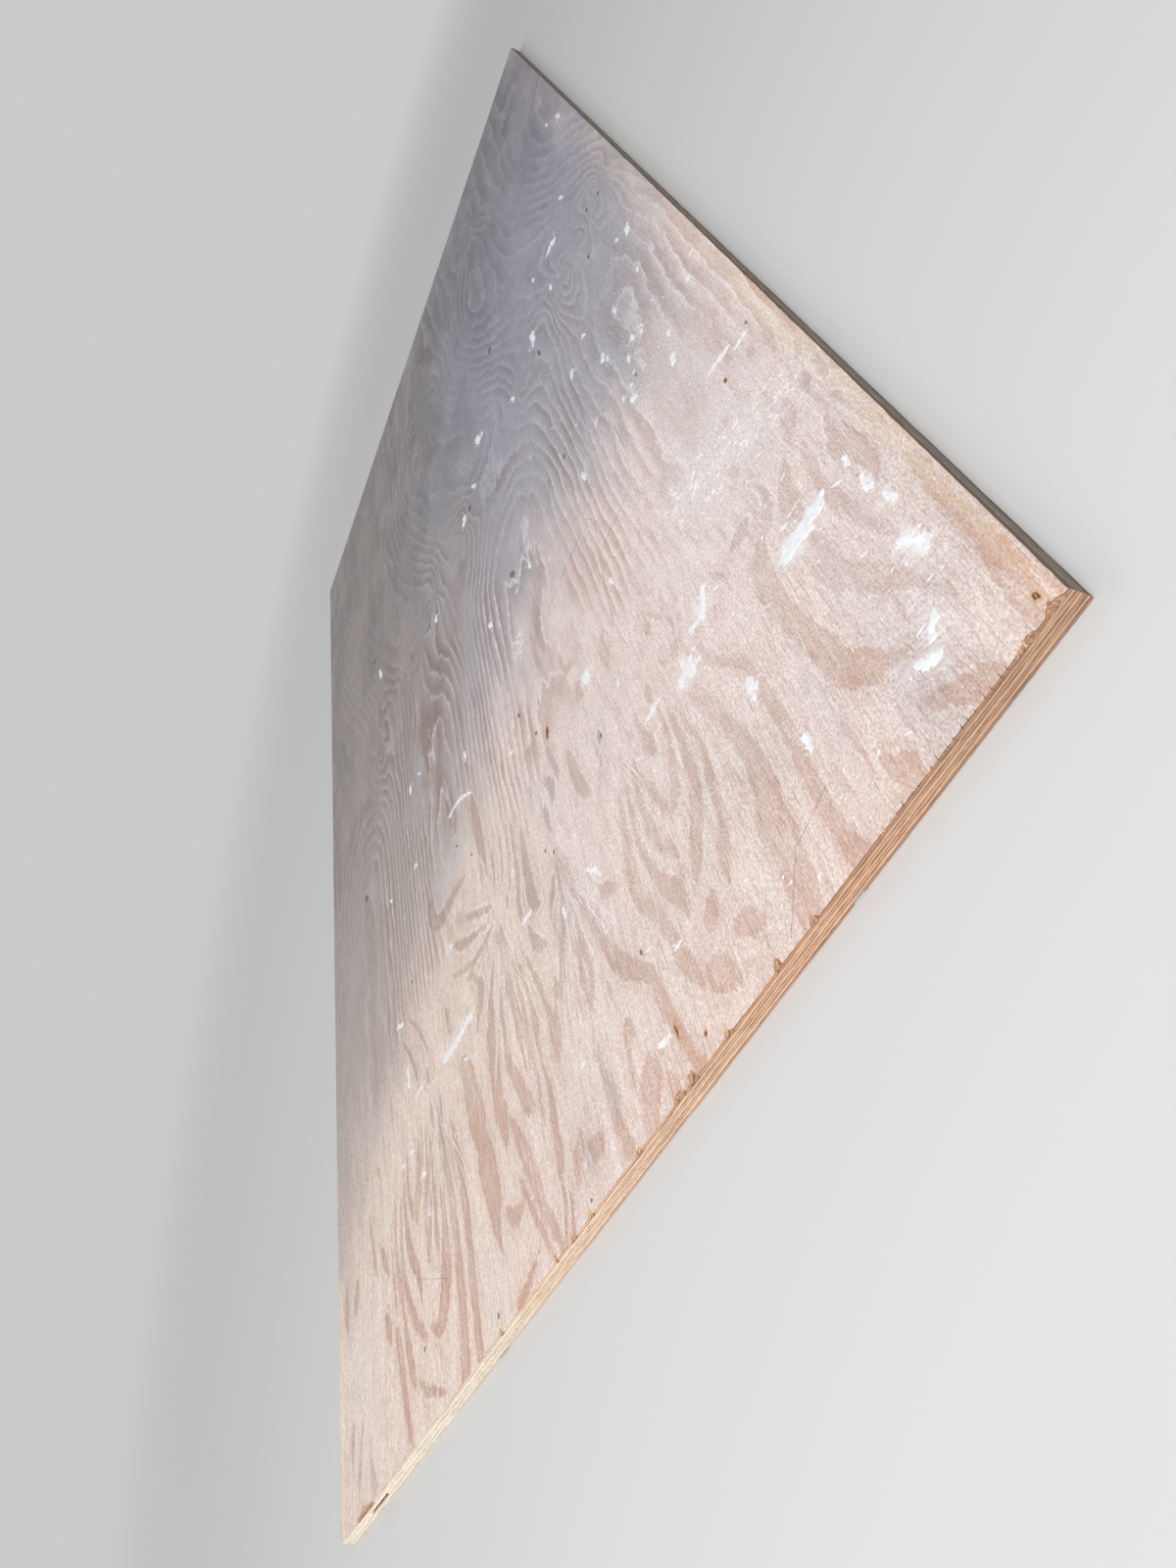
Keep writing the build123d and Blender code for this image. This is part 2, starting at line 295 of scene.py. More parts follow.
def tapered(path):
    """Narrow a band towards its ends, except where it closes on itself or meets the sawn end."""
    runs = np.concatenate([[0.0], np.cumsum(np.hypot(*np.diff(path[:, :2], axis=0).T))])
    half_widths = np.minimum(path[:, 2], 0.26 * runs[-1] + 1.0)
    gap = math.hypot(*(path[0, :2] - path[-1, :2]))
    closed = len(path) > LOOP_POINTS and runs[-1] > 1.5 * gap
    if not closed:
        taper = min(3.0 * half_widths.max(), 0.45 * runs[-1])
        half_widths = half_widths * np.clip((runs + 1.0) / taper, 0, 1) ** 0.6
        if path[-1, 0] < BAND_RUNS_ON:
            half_widths = half_widths * np.clip((runs[-1] - runs + 1.0) / taper, 0, 1) ** 0.6
    return np.column_stack([path[:, :2], half_widths])


def band_depth(x, y):
    """How far inside a dark growth band each place lies, in millimetres: negative outside."""
    depth = np.full(len(x), -BAND_FADE)
    for band in GROWTH_BANDS:
        path = tapered(smooth_path(band, BAND_PITCH))
        reach = path[:, 2].max() + BAND_FADE
        low = path.min(axis=0) - reach
        high = path.max(axis=0) + reach
        near = (x > low[0]) & (x < high[0]) & (y > low[1]) & (y < high[1])
        gap = np.hypot(x[near, None] - path[:, 0], y[near, None] - path[:, 1])
        depth[near] = np.maximum(depth[near], (path[:, 2] - gap).max(axis=1))
    return depth


# Growth ring count over the rest of the face. Its whole numbers are where rings meet.
RING_PERIOD = 600.0
RING_CREST_Y = 485.0
RING_DRIFT = 195.0


def face_rings(x, y):
    """Ring count at places on the face, in millimetres."""
    drift = RING_DRIFT * (1 - smoothstep(-560, 60, x))
    swing = (
        2.6
        + 2.6 * smoothstep(-780, -600, x)
        - 2.4 * smoothstep(-150, -60, x)
        + 4.8 * smoothstep(-10, 220, x)
    )
    rings = swing * np.cos(2 * math.pi * (y + drift - RING_CREST_Y) / RING_PERIOD)
    rings = rings - 0.0018 * (x - 400) + 0.2
    for sx, sy, height, ahead, behind, half_width in STARS:
        dx = x - sx
        fade = np.where(dx > 0, np.clip(1 - dx / ahead, 0, 1) ** 1.2, np.exp(dx / behind))
        width = 2.5 + half_width * np.tanh(np.abs(dx) / (1.3 * half_width))
        rings = rings + height * fade * np.exp(-(((y - sy) / width) ** 2))
    for sx, sy, height, reach, half_width, behind in TONGUES:
        dx = x - sx
        fade = np.where(dx > 0, np.clip(1 - dx / reach, 0, 1), np.exp(-((dx / behind) ** 2)))
        width = half_width * (0.62 + 0.38 * np.tanh(np.abs(dx) / 90))
        rings = rings + height * fade * np.exp(-(((y - sy) / width) ** 2))
    for sx, sy, height, half_length, half_width in ISLES:
        rings = rings + height * oval(x, y, sx, sy, half_length, half_width)
    return rings


def back_rings(x, y):
    """Ring count at places on the back: a quieter figure with a few whorls."""
    rings = 5.0 * np.cos(2 * math.pi * (y + 0.12 * x - 140) / 780) + 0.002 * x
    rings = rings + 1.2 * lattice_noise(x / 420, y / 160, 31)
    for sx, sy, height, half_length, half_width in BACK_WHORLS:
        spread = np.sqrt(((x - sx) / half_length) ** 2 + ((y - sy) / half_width) ** 2)
        rings = rings + height * np.exp(-spread)
    return rings


# Broad tones over the face: x, y, half length, half width, strength. A whorl is a place where
# growth lines run together and the grain stands grey and proud.
TONES = {
    "veil": [
        (430, 490, 220, 90, 0.55), (600, 480, 120, 70, 0.3), (800, 540, 180, 40, 0.25),
        (470, -110, 26, 70, 0.6), (190, -178, 50, 18, 0.8), (480, 200, 120, 60, 0.3),
        (620, 100, 90, 60, 0.3), (950, -130, 60, 50, 0.4), (900, -500, 140, 70, 0.6),
        (850, 506, 130, 14, 0.3), (930, 548, 60, 12, 0.4), (890, 452, 110, 10, 0.3),
    ],
    "whorl": [
        (640, -22, 110, 95, 1.0), (674, 112, 110, 50, 1.0), (686, -232, 90, 50, 1.0),
        (682, 580, 50, 22, 1.0), (645, 232, 50, 26, 1.0), (686, 482, 34, 26, 1.0),
    ],
    "warm": [
        (940, 592, 130, 12, 0.8), (700, 598, 420, 5, 0.7), (992, 330, 20, 220, 0.35),
        (975, 225, 40, 50, 0.35), (930, 470, 60, 60, 0.25), (420, 597, 120, 6, 0.8),
        (200, -130, 110, 60, 0.3), (40, 30, 60, 20, 0.3), (400, 280, 80, 24, 0.35),
        (780, 205, 60, 16, 0.35), (990, -80, 16, 30, 0.5), (790, -80, 150, 110, 0.22),
    ],
    "cream": [
        (800, 591, 240, 5, 0.4), (480, 588, 150, 5, 0.4), (40, 585, 110, 14, 0.4),
        (870, -590, 200, 10, 0.5),
    ],
    "stain": [
        (190, -115, 95, 45, 0.8), (110, -60, 50, 20, 0.5), (150, -208, 50, 9, 0.6),
        (60, -5, 120, 22, 0.3), (660, 58, 60, 22, 0.3), (440, 180, 80, 26, 0.35),
    ],
    "faint": [
        (350, -480, 420, 120, 0.8), (-600, -420, 500, 220, 0.55), (-560, 440, 130, 60, 0.7),
        (-420, 120, 160, 70, 0.6), (300, 470, 240, 62, 0.3), (430, 222, 80, 26, 0.9),
        (380, 135, 60, 24, 0.8), (470, -115, 60, 60, 0.85), (190, -178, 60, 22, 0.9),
    ],
    "smudge": [
        (948, 116, 34, 12, 0.7), (900, 108, 44, 14, 0.6), (960, 62, 28, 16, 0.7),
        (795, 54, 26, 12, 0.5), (660, -24, 34, 14, 0.6), (690, 112, 36, 13, 0.65),
        (745, 86, 60, 9, 0.6), (735, 128, 44, 6, 0.5), (655, 232, 22, 10, 0.5),
        (-60, 548, 40, 16, 0.5),
    ],
}

# Plaster smeared thinly between the dabs, in the same way
PLASTER_HAZE = [
    (580, 445, 30, 34, 0.45), (610, 500, 34, 34, 0.45), (650, 556, 40, 26, 0.5),
    (355, 140, 32, 16, 0.6), (770, 505, 30, 30, 0.35), (920, 535, 46, 28, 0.3),
    (815, 408, 20, 16, 0.3), (725, 355, 20, 18, 0.3), (860, 560, 56, 16, 0.35),
    (690, 400, 24, 14, 0.4), (560, 240, 18, 16, 0.5), (330, 470, 110, 50, 0.2),
]


def oval(x, y, px, py, half_length, half_width):
    """Soft oval patch: 1 at its middle."""
    return np.exp(-(((x - px) / half_length) ** 2) - ((y - py) / half_width) ** 2)


def tone_sum(x, y, places):
    """Sum of soft oval patches, from 0 to 1."""
    total = np.zeros_like(x)
    for px, py, half_length, half_width, strength in places:
        total = total + strength * oval(x, y, px, py, half_length, half_width)
    return np.clip(total, 0, 1)


def chip_depth(y, chips):
    """Depth of the bites at places along the sawn end, in metres."""
    depth = np.zeros_like(y)
    for index, (share, width, deep) in enumerate(chips):
        side = 1 if index % 2 == 0 else -1
        centre = SIDE_Y - share * WIDTH
        across = side * (y - centre) / (width * MM)
        depth = np.maximum(depth, np.interp(across, CHIP_ACROSS, CHIP_DEPTHS) * deep * MM)
    return depth


def nick_places():
    """Place along the sawn end and length of each nick, in metres."""
    places = []
    y = SIDE_Y - NICKS_FROM * WIDTH
    while y > SIDE_Y - NICKS_TO * WIDTH:
        turn = len(places)
        places.append((y, NICK_LENGTHS_MM[turn % len(NICK_LENGTHS_MM)] * MM))
        y -= NICK_STEPS_MM[turn % len(NICK_STEPS_MM)] * MM
    return places


def even(start, stop, pitch):
    """Even steps from start towards stop, without stop itself."""
    count = max(1, round(abs(stop - start) / pitch))
    return list(np.linspace(start, stop, count + 1)[:-1])


class Rim:
    """Places round a veneer's edge, anticlockwise from the lower sawn corner."""

    def __init__(self, points):
        self.points = np.array(points, dtype=float)
        x, y = self.points.T
        self.sawn = np.isclose(x, END_X)
        far = np.isclose(x, -END_X)
        upper = np.isclose(y, SIDE_Y)
        lower = np.isclose(y, -SIDE_Y)
        self.on_end = self.sawn | far
        self.normals = np.column_stack([self.sawn * 1.0 - far, upper * 1.0 - lower])
        steps = np.linalg.norm(np.diff(self.points, axis=0), axis=1)
        self.runs = np.concatenate([[0.0], np.cumsum(steps)])

    def __len__(self):
        return len(self.points)

    def recess(self, level, seed, chips, nicks, wear):
        """How far the edge lies inside the true outline, at a level from 0 (outside) to 1."""
        run = self.runs / MM

        def noise(size, drift, turn):
            return lattice_noise(run / size, run * 0 + level * drift, seed + turn)

        rough = 0.16 * noise(2.3, 2.2, 0) + 0.10 * noise(0.9, 5.1, 1)
        worn = 0.35 * np.abs(noise(24, 0, 2))
        recess = (EDGE_RECESS_MM + rough + np.where(self.on_end, 0.0, worn)) * MM
        ragged = 1 + 0.28 * noise(1.7, 1.3, 3)
        recess = recess + self.bite(chips) * ragged * (1 - 0.30 * level)
        for place, length in nicks:
            recess = recess + self.at_nick(place) * length * (1 - level) ** 2
        recess = recess + wear * (1 - level) ** 3
        return np.clip(recess, 0, None)

    def at_nick(self, place):
        """True at the point of a nick."""
        return self.sawn & (np.abs(self.points[:, 1] - place) < NICK_HALF_WIDTH / 2)

    def bite(self, chips):
        """Depth of the chips at each place."""
        return np.where(self.sawn, chip_depth(self.points[:, 1], chips), 0.0)

    def values(self, chips):
        """What the edge material has to know at each place."""
        torn = np.clip(self.bite(chips) / TORN_DEPTH, 0, 1)
        return {"torn": torn, "run": self.runs, "on_end": self.on_end, "sawn": self.sawn}


# Heights down the edge of one veneer, as shares of its thickness
EDGE_LEVELS = [0.0, 0.10, 0.34, 0.66, 0.90, 1.0]
GLUE_GROOVE = 0.22 * MM


def edge_offsets(rim, seed, chips, nicks, wear):
    """Offset of each rim point from the true outline, level by level."""
    offsets = []
    for level in EDGE_LEVELS:
        groove = GLUE_GROOVE if level in (0.0, 1.0) else 0.0
        inward = rim.recess(level, seed, chips, nicks, wear) + groove
        offsets.append(-rim.normals * inward[:, None])
    return offsets


def new_piece(name, vertices, faces, attributes, materials, face_materials, material_slot, smooth=0):
    """Make a mesh piece that rides on the sheet. Its first faces, as many as smooth, are smooth."""
    mesh = bpy.data.meshes.new(name)
    mesh.from_pydata([tuple(v) for v in vertices], [], faces)
    for label, values in attributes.items():
        layer = mesh.attributes.new(label, "FLOAT", "POINT")
        layer.data.foreach_set("value", np.asarray(values, dtype=np.float32))
    for material in materials:
        mesh.materials.append(material)
    mesh.polygons.foreach_set("material_index", np.asarray(face_materials, dtype=np.int32))
    mesh.polygons.foreach_set("use_smooth", np.arange(len(faces)) < smooth)
    mesh.update()
    piece = bpy.data.objects.new(name, mesh)
    bpy.context.scene.collection.objects.link(piece)
    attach(piece, "root")
    return piece


# Distances between the points round a veneer's edge
CORNER_STEP = 0.4 * MM
SAWN_PITCH = 1.0 * MM
FAR_PITCH = 4.0 * MM
SIDE_PITCH = 5.0 * MM


def long_side():
    """Steps along a long side, from the sawn end back, with a close one at each corner."""
    between = even(END_X - SIDE_PITCH, -END_X + SIDE_PITCH, SIDE_PITCH)
    return [END_X - CORNER_STEP] + between + [-END_X + CORNER_STEP]


def inner_ply(node, material_slot, index, materials):
    """One of the five hidden veneers: its rough edge all round, and plain faces."""
    low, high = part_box(node)
    upper_xs = long_side()
    rim = Rim(
        [(END_X, y) for y in even(-SIDE_Y, SIDE_Y, SAWN_PITCH)]
        + [(END_X, SIDE_Y)]
        + [(x, SIDE_Y) for x in upper_xs]
        + [(-END_X, y) for y in even(SIDE_Y, -SIDE_Y, FAR_PITCH)]
        + [(-END_X, -SIDE_Y)]
        + [(x, -SIDE_Y) for x in reversed(upper_xs)]
    )
    chips = CORE_GAP if node == "core_ply" else []
    offsets = edge_offsets(rim, 40 + 7 * index, chips, [], 0.0)
    count = len(rim)
    rows = []
    for level, offset in zip(EDGE_LEVELS, offsets):
        z = high.z + (low.z - high.z) * level
        rows.append(np.column_stack([rim.points + offset, np.full(count, z)]))
    levels = len(EDGE_LEVELS)
    faces = []
    for k in range(levels - 1):
        for i in range(count):
            j = (i + 1) % count
            faces.append((k * count + i, (k + 1) * count + i, (k + 1) * count + j, k * count + j))
    sides = len(faces)
    last = (levels - 1) * count
    faces.append(tuple(range(count)))
    faces.append(tuple(last + i for i in reversed(range(count))))
    attributes = {label: np.tile(values, levels) for label, values in rim.values(chips).items()}
    attributes["layer"] = np.repeat(EDGE_LEVELS, count)
    attributes["ply"] = np.full(levels * count, float(index))
    vertices = np.concatenate(rows)
    face_materials = [0] * sides + [1, 1]
    name = node + "_look"
    piece = new_piece(name, vertices, faces, attributes, materials, face_materials, material_slot)
    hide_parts(node)


# Columns of the outer veneers' grids: x from, x to, pitch in millimetres, and how many times
# finer than the coarsest their rows are. The rest, up to the sawn end, is the strip.
FACE_COLUMNS = [
    (-1000, -840, 14, 1), (-840, -700, 7, 1), (-700, -130, 14, 1), (-130, 20, 6, 1),
    (20, 300, 14, 1), (300, 545, 9, 1), (545, 984, 8, 3),
]
BACK_COLUMNS = [
    (-1000, -560, 14, 1), (-560, -280, 10, 1), (-280, 180, 14, 1), (180, 460, 10, 1),
    (460, 984, 14, 1),
]
STRIP_SHARES = [0.30, 0.52, 0.68, 0.80, 0.89, 0.95, 1.0]


def sawn_places(count, nicks):
    """Even places along the sawn end, some of them moved to the sides and point of each nick."""
    places = np.linspace(-SIDE_Y, SIDE_Y, count + 1)
    for y, _ in nicks:
        k = int(np.abs(places - y).argmin())
        places[k - 1 : k + 2] = (y - NICK_HALF_WIDTH, y, y + NICK_HALF_WIDTH)
    return places


def surface_columns(spec, nicks, seed):
    """Nominal places of the surface, column by column, and how fine each column's rows are."""
    rows = round(WIDTH / spec["row_pitch"])
    finest = spec["finest"]
    columns = []
    for start, stop, pitch, finer in spec["columns"]:
        columns += [(x, finer) for x in even(start * MM, stop * MM, pitch * MM)]
    columns[1:1] = [(-END_X + CORNER_STEP, 1)]
    places = []
    for x, finer in columns:
        ys = np.linspace(-SIDE_Y, SIDE_Y, rows * finer + 1)
        places.append(np.column_stack([np.full(len(ys), x), ys]))

    # The strip closes in on the worn sawn end
    strip_x = spec["columns"][-1][1] * MM
    even_ys = np.linspace(-SIDE_Y, SIDE_Y, rows * finest + 1)
    sawn_ys = sawn_places(rows * finest, nicks)
    end = Rim([(END_X, y) for y in sawn_ys])
    worn_end = END_X - end.recess(0.0, seed, spec["chips"], nicks, spec["wear"]) - GLUE_GROOVE
    for share in [0.0] + STRIP_SHARES:
        xs = strip_x + (worn_end - strip_x) * share
        places.append(np.column_stack([xs, even_ys + (sawn_ys - even_ys) * share]))
    return places, [finer for _, finer in columns] + [finest] * (1 + len(STRIP_SHARES))


def surface_faces(starts, fineness):
    """Faces between each column and the next, which may be finer."""
    faces = []
    for c in range(len(fineness) - 1):
        ratio = fineness[c + 1] // fineness[c]
        a, b = starts[c], starts[c + 1]
        for j in range(b - a - 1):
            across = [b + j * ratio + k for k in range(ratio + 1)]
            faces.append((a + j, *across, a + j + 1))
    return faces


def outer_ply(node, material_slot, index, spec, materials):
    """The face or back veneer: a gridded surface that is finest by the sawn end, and its edges."""
    low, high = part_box(node)
    outer_z, inner_z = (high.z, low.z) if spec["up"] else (low.z, high.z)
    nicks = nick_places() if spec["nicks"] else []
    seed = 11 + 90 * index
    places, fineness = surface_columns(spec, nicks, seed)
    starts = np.concatenate([[0], np.cumsum([len(column) for column in places])])
    flat = np.concatenate(places)
    faces = surface_faces(starts, fineness)
    surface = len(faces)

    # Loop round the surface, anticlockwise from the lower sawn corner
    last = len(places) - 1
    loop = list(range(starts[last], starts[last + 1]))
    loop += [starts[c + 1] - 1 for c in reversed(range(last))]
    loop += list(reversed(range(starts[0], starts[1] - 1)))
    loop += [starts[c] for c in range(1, last)]
    true_places = flat[loop]
    true_places[: len(places[last]), 0] = END_X
    rim = Rim(true_places)
    offsets = edge_offsets(rim, seed, spec["chips"], nicks, spec["wear"])
    count = len(loop)

    # Surface points, the outermost moved in to the worn edge, then the rows down the edge
    flat[loop] = rim.points + offsets[0]
    sunk = spec["relief"](*flat.T / MM)
    sunk[loop] = 0.0
    toward = 1 if spec["up"] else -1
    vertices = [np.column_stack([flat, outer_z - toward * sunk])]
    rings = [loop]
    for k, level in enumerate(EDGE_LEVELS[1:]):
        z = outer_z + (inner_z - outer_z) * level
        rings.append(list(range(len(flat) + k * count, len(flat) + (k + 1) * count)))
        vertices.append(np.column_stack([rim.points + offsets[k + 1], np.full(count, z)]))
    for a, b in zip(rings, rings[1:]):
        for k in range(count):
            n = (k + 1) % count
            faces.append((a[k], b[k], b[n], a[n]))
    sides = len(faces) - surface
    faces.append(tuple(reversed(rings[-1])))
    if not spec["up"]:
        faces = [tuple(reversed(face)) for face in faces]
    vertices = np.concatenate(vertices)

    def round_edge(values):
        """Values of the rim points, one for each row of them, and 0 elsewhere."""
        spread = np.zeros(len(vertices))
        for ring, value in zip(rings, values):
            spread[ring] = value
        return spread

    edge_values = rim.values(spec["chips"])
    edge_values["cut"] = sum((rim.at_nick(place) for place, _ in nicks), np.zeros(count))
    attributes = {label: round_edge([values] * len(rings)) for label, values in edge_values.items()}
    attributes["layer"] = round_edge(EDGE_LEVELS)
    attributes["ply"] = np.full(len(vertices), float(index))
    for label, values in spec["values"].items():
        attributes[label] = values(*vertices[:, :2].T / MM)
    face_materials = [0] * surface + [1] * sides + [2]
    name = node + "_look"
    piece = new_piece(name, vertices, faces, attributes, materials, face_materials, material_slot, surface)
    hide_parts(node)


# How deep the soft wood between the growth bands has weathered away
RELIEF = 0.10 * MM


def face_relief(x, y):
    """How far the surface has sunk, in metres: fully outside the growth bands, not in them."""
    return RELIEF * (1 - smoothstep(-2.5, 1.0, band_depth(x, y)))


def no_relief(x, y):
    return np.zeros_like(x)


def traced_share(x, y):
    """1 where the growth bands are listed, 0 where the ring count draws them."""
    share = smoothstep(530, 600, x + 14 * lattice_noise(x / 60, y / 35, 3))
    return share * (1 - 0.6 * smoothstep(-420, -520, y))


def grey_and_shade_share(x, y):
    """How much grey covers the face: none near the sawn end, much further in. It is partly weathered grey
    and partly painted shade, slanting across the face and by the upper sawn corner.
    """
    lean = np.minimum(y, 250 + 0.3 * (y - 250))
    share = smoothstep(670, 170, x + 0.5 * lean) * (1 - 0.4 * smoothstep(510, 590, y))
    share = share + 0.3 * oval(x, y, 270, 400, 150, 130)
    share = share + 0.32 * oval(x, y, 960, 530, 130, 90) + 0.18 * oval(x, y, 870, 360, 120, 120)
    return np.clip(share, 0, 1)


def fan_field(x, y):
    """How far across its fan each place lies, plus 10 for each fan on, and how strong the fan is."""
    across = np.zeros_like(x)
    share = np.zeros_like(x)
    for index, (px, py, reach, half_width, strength) in enumerate(FANS):
        dx = x - px
        away = np.abs(dx)
        here = (y - py) / (4 + (half_width - 4) * smoothstep(0, reach, away))
        strong = strength * smoothstep(-0.5 * reach, 0, dx) * smoothstep(1.3 * reach, 0.4 * reach, away)
        strong = strong * smoothstep(2, 26, away) * smoothstep(1.3, 0.8, np.abs(here))
        across = np.where(strong > share, here + 10 * index, across)
        share = np.maximum(share, strong)
    return across, share


def plaster_haze(x, y):
    """Thin plaster smeared about the dabs and splashes."""
    smears = list(PLASTER_HAZE)
    for px, py, half_length, half_width, turn in PLASTER_DABS:
        angle = math.radians(turn)
        wide = math.hypot(half_length * math.cos(angle), half_width * math.sin(angle))
        tall = math.hypot(half_length * math.sin(angle), half_width * math.cos(angle))
        smears.append((px, py, 1.1 * wide + 3, 1.1 * tall + 3, 0.5))
    return tone_sum(x, y, smears)


def tone(label):
    """The values of one broad tone, as a function of the place."""
    return lambda x, y: tone_sum(x, y, TONES[label])


def colour(red, green, blue):
    """A colour written as it looks on screen, 0 to 255, turned into linear light."""
    out = []
    for value in (red, green, blue):
        c = value / 255
        out.append(c / 12.92 if c <= 0.04045 else ((c + 0.055) / 1.055) ** 2.4)
    return (*out, 1.0)


class Value:
    """What a node gives. Sums and products of values add nodes of their own."""

    def __init__(self, nodes, socket):
        self.nodes = nodes
        self.socket = socket

    def __add__(self, other):
        return self.nodes.math("ADD", self, other)

    def __radd__(self, other):
        return self.nodes.math("ADD", other, self)

    def __sub__(self, other):
        return self.nodes.math("SUBTRACT", self, other)

    def __rsub__(self, other):
        return self.nodes.math("SUBTRACT", other, self)

    def __mul__(self, other):
        return self.nodes.math("MULTIPLY", self, other)


class Nodes:
    """A node tree, with short names for the nodes it is made of."""

    def __init__(self, tree):
        self.tree = tree

    def fill(self, node, sockets):
        """Fill each socket named by a number, a colour or what another node gives."""
        for socket, value in sockets.items():
            if isinstance(value, Value):
                self.tree.links.new(value.socket, node.inputs[socket])
            else:
                node.inputs[socket].default_value = value

    def node(self, kind, sockets=None, **settings):
        """A new node with its settings made and its sockets filled."""
        node = self.tree.nodes.new("ShaderNode" + kind)
        for setting, value in settings.items():
            setattr(node, setting, value)
        self.fill(node, sockets or {})
        return node

    def value(self, kind, sockets=None, output=0, **settings):
        """What one output of a new node gives."""
        return Value(self, self.node(kind, sockets, **settings).outputs[output])

    def math(self, operation, a, b=0.0):
        return self.value("Math", {0: a, 1: b}, operation=operation)

    def largest(self, *values):
        total, *others = values
        for value in others:
            total = self.math("MAXIMUM", total, value)
        return total


class Shader(Nodes):
    """A node material. Its base colour is built up layer by layer."""

    def __init__(self, name, roughness):
        self.material = bpy.data.materials.new(name)
        self.material.use_nodes = True
        super().__init__(self.material.node_tree)
        self.surface = self.tree.nodes["Principled BSDF"]
        self.fill(self.surface, {"Roughness": roughness})
        self.place = self.value("TexCoord", output="Object")
        split = self.node("SeparateXYZ", {0: self.place})
        self.x, self.y, self.z = [Value(self, output) for output in split.outputs]
        self.base = None

    def step(self, value, low, high, to_low=0.0, to_high=1.0):
        """Smooth ramp from to_low to to_high as value goes from low to high."""
        ramp = {"Value": value, "From Min": low, "From Max": high, "To Min": to_low, "To Max": to_high}
        return self.value("MapRange", ramp, interpolation_type="SMOOTHSTEP")

    def line(self, value, centre, half_width):
        """1 where value is at the centre, 0 a half width away from it."""
        return self.step(self.math("ABSOLUTE", value - centre), half_width, 0.0)

    def length(self, u, v):
        """Distance with two parts at right angles."""
        return self.math("SQRT", u * u + v * v)

    def vector(self, x, y, z):
        return self.value("CombineXYZ", {0: x, 1: y, 2: z})

    def noise(self, sizes, shift=0.0, detail=2.0, roughness=0.5, place=None):
        """Cloudy noise from 0 to 1 with features of the given sizes in millimetres."""
        place = self.place if place is None else place
        scale = [1 / (size * MM) for size in sizes]
        offset = (shift, shift * 1.7, shift * 0.3)
        scaled = self.value("VectorMath", {0: place, 1: scale, 2: offset}, operation="MULTIPLY_ADD")
        values = {"Scale": 1.0, "Detail": detail, "Roughness": roughness, "Vector": scaled}
        return self.value("TexNoise", values)

    def swing(self, sizes, amount, shift=0.0, detail=2.0, place=None):
        """Noise from about -amount to amount."""
        return (self.noise(sizes, shift, detail, place=place) - 0.5) * (2.0 * amount)

    def attribute(self, name):
        return self.value("Attribute", output="Fac", attribute_name=name)

    def blend(self, share, low, high, way="MIX"):
        """Colour low where share is 0 and high where it is 1. Three numbers are a screen colour."""
        low, high = [colour(*c) if isinstance(c, tuple) and len(c) == 3 else c for c in (low, high)]
        return self.value("Mix", {0: share, 6: low, 7: high}, 2, data_type="RGBA", blend_type=way)

    def shade(self, base, value):
        """Multiply a colour by a grey value."""
        return self.value("VectorMath", {0: base, "Scale": value}, operation="SCALE")

    def cover(self, share, red, green, blue):
        """Lay a colour over the base where share is 1."""
        self.base = self.blend(share, self.base, (red, green, blue))

    def tint(self, share, filter_colour):
        """Multiply the base by a colour where share is 1."""
        self.base = self.blend(share, self.base, filter_colour, "MULTIPLY")

    def dim(self, value):
        """Multiply the base by a grey value."""
        self.base = self.shade(self.base, value)

    def turned(self, x, y, angle):
        """Distances from a place in millimetres, along a direction and across it, in metres."""
        dx = self.x - x * MM
        dy = self.y - y * MM
        along = dx * math.cos(angle) + dy * math.sin(angle)
        across = dx * -math.sin(angle) + dy * math.cos(angle)
        return along, across

    def spot(self, x, y, half_length, half_width, turn):
        """1 in the middle of an oval mark, in millimetres and degrees, and 0 at its outline."""
        along, across = self.turned(x, y, math.radians(turn))
        u = along * (1 / (half_length * MM))
        v = across * (1 / (half_width * MM))
        return self.step(self.length(u, v), 1.0, 0.1)

    def spots(self, rows):
        """All the marks of a table."""
        return self.largest(*[self.spot(*row) for row in rows])

    def stroke(self, x0, y0, x1, y1, width, wander):
        """1 on a drawn stroke between two places in millimetres, fading at its sides."""
        half = math.hypot(x1 - x0, y1 - y0) * MM / 2
        along, across = self.turned((x0 + x1) / 2, (y0 + y1) / 2, math.atan2(y1 - y0, x1 - x0))
        across = across + wander
        beyond = self.largest(self.math("ABSOLUTE", along) - half, 0.0)
        return self.step(self.length(across, beyond), width * MM * 0.5, width * MM * 0.12)

    def finish(self, relief=None, depth=0.0, strength=1.0):
        """Give the surface its base colour and its fine relief, and hand back the material."""
        self.fill(self.surface, {"Base Color": self.base})
        if relief is not None:
            bump = {"Strength": strength, "Distance": depth, "Height": relief}
            self.fill(self.surface, {"Normal": self.value("Bump", bump)})
        return self.material


# Drawn marks on the face: from x, y to x, y and the width, in millimetres
PENCIL_LINES = [
    (454, 380, 456, 330, 3.0), (456, 330, 462, 300, 2.4), (386, 300, 390, 252, 3.0),
    (390, 252, 394, 212, 2.2), (384, 318, 400, 326, 1.6), (400, 326, 420, 325, 1.8),
    (420, 325, 500, 308, 2.2), (500, 308, 560, 300, 2.2), (560, 300, 612, 306, 1.6),
    (182, 378, 320, 368, 2.2), (345, 405, 395, 405, 2.6), (938, 422, 948, 380, 1.8),
    (948, 380, 992, 346, 1.6), (856, -322, 898, -240, 1.3), (740, -352, 800, -334, 1.2),
]

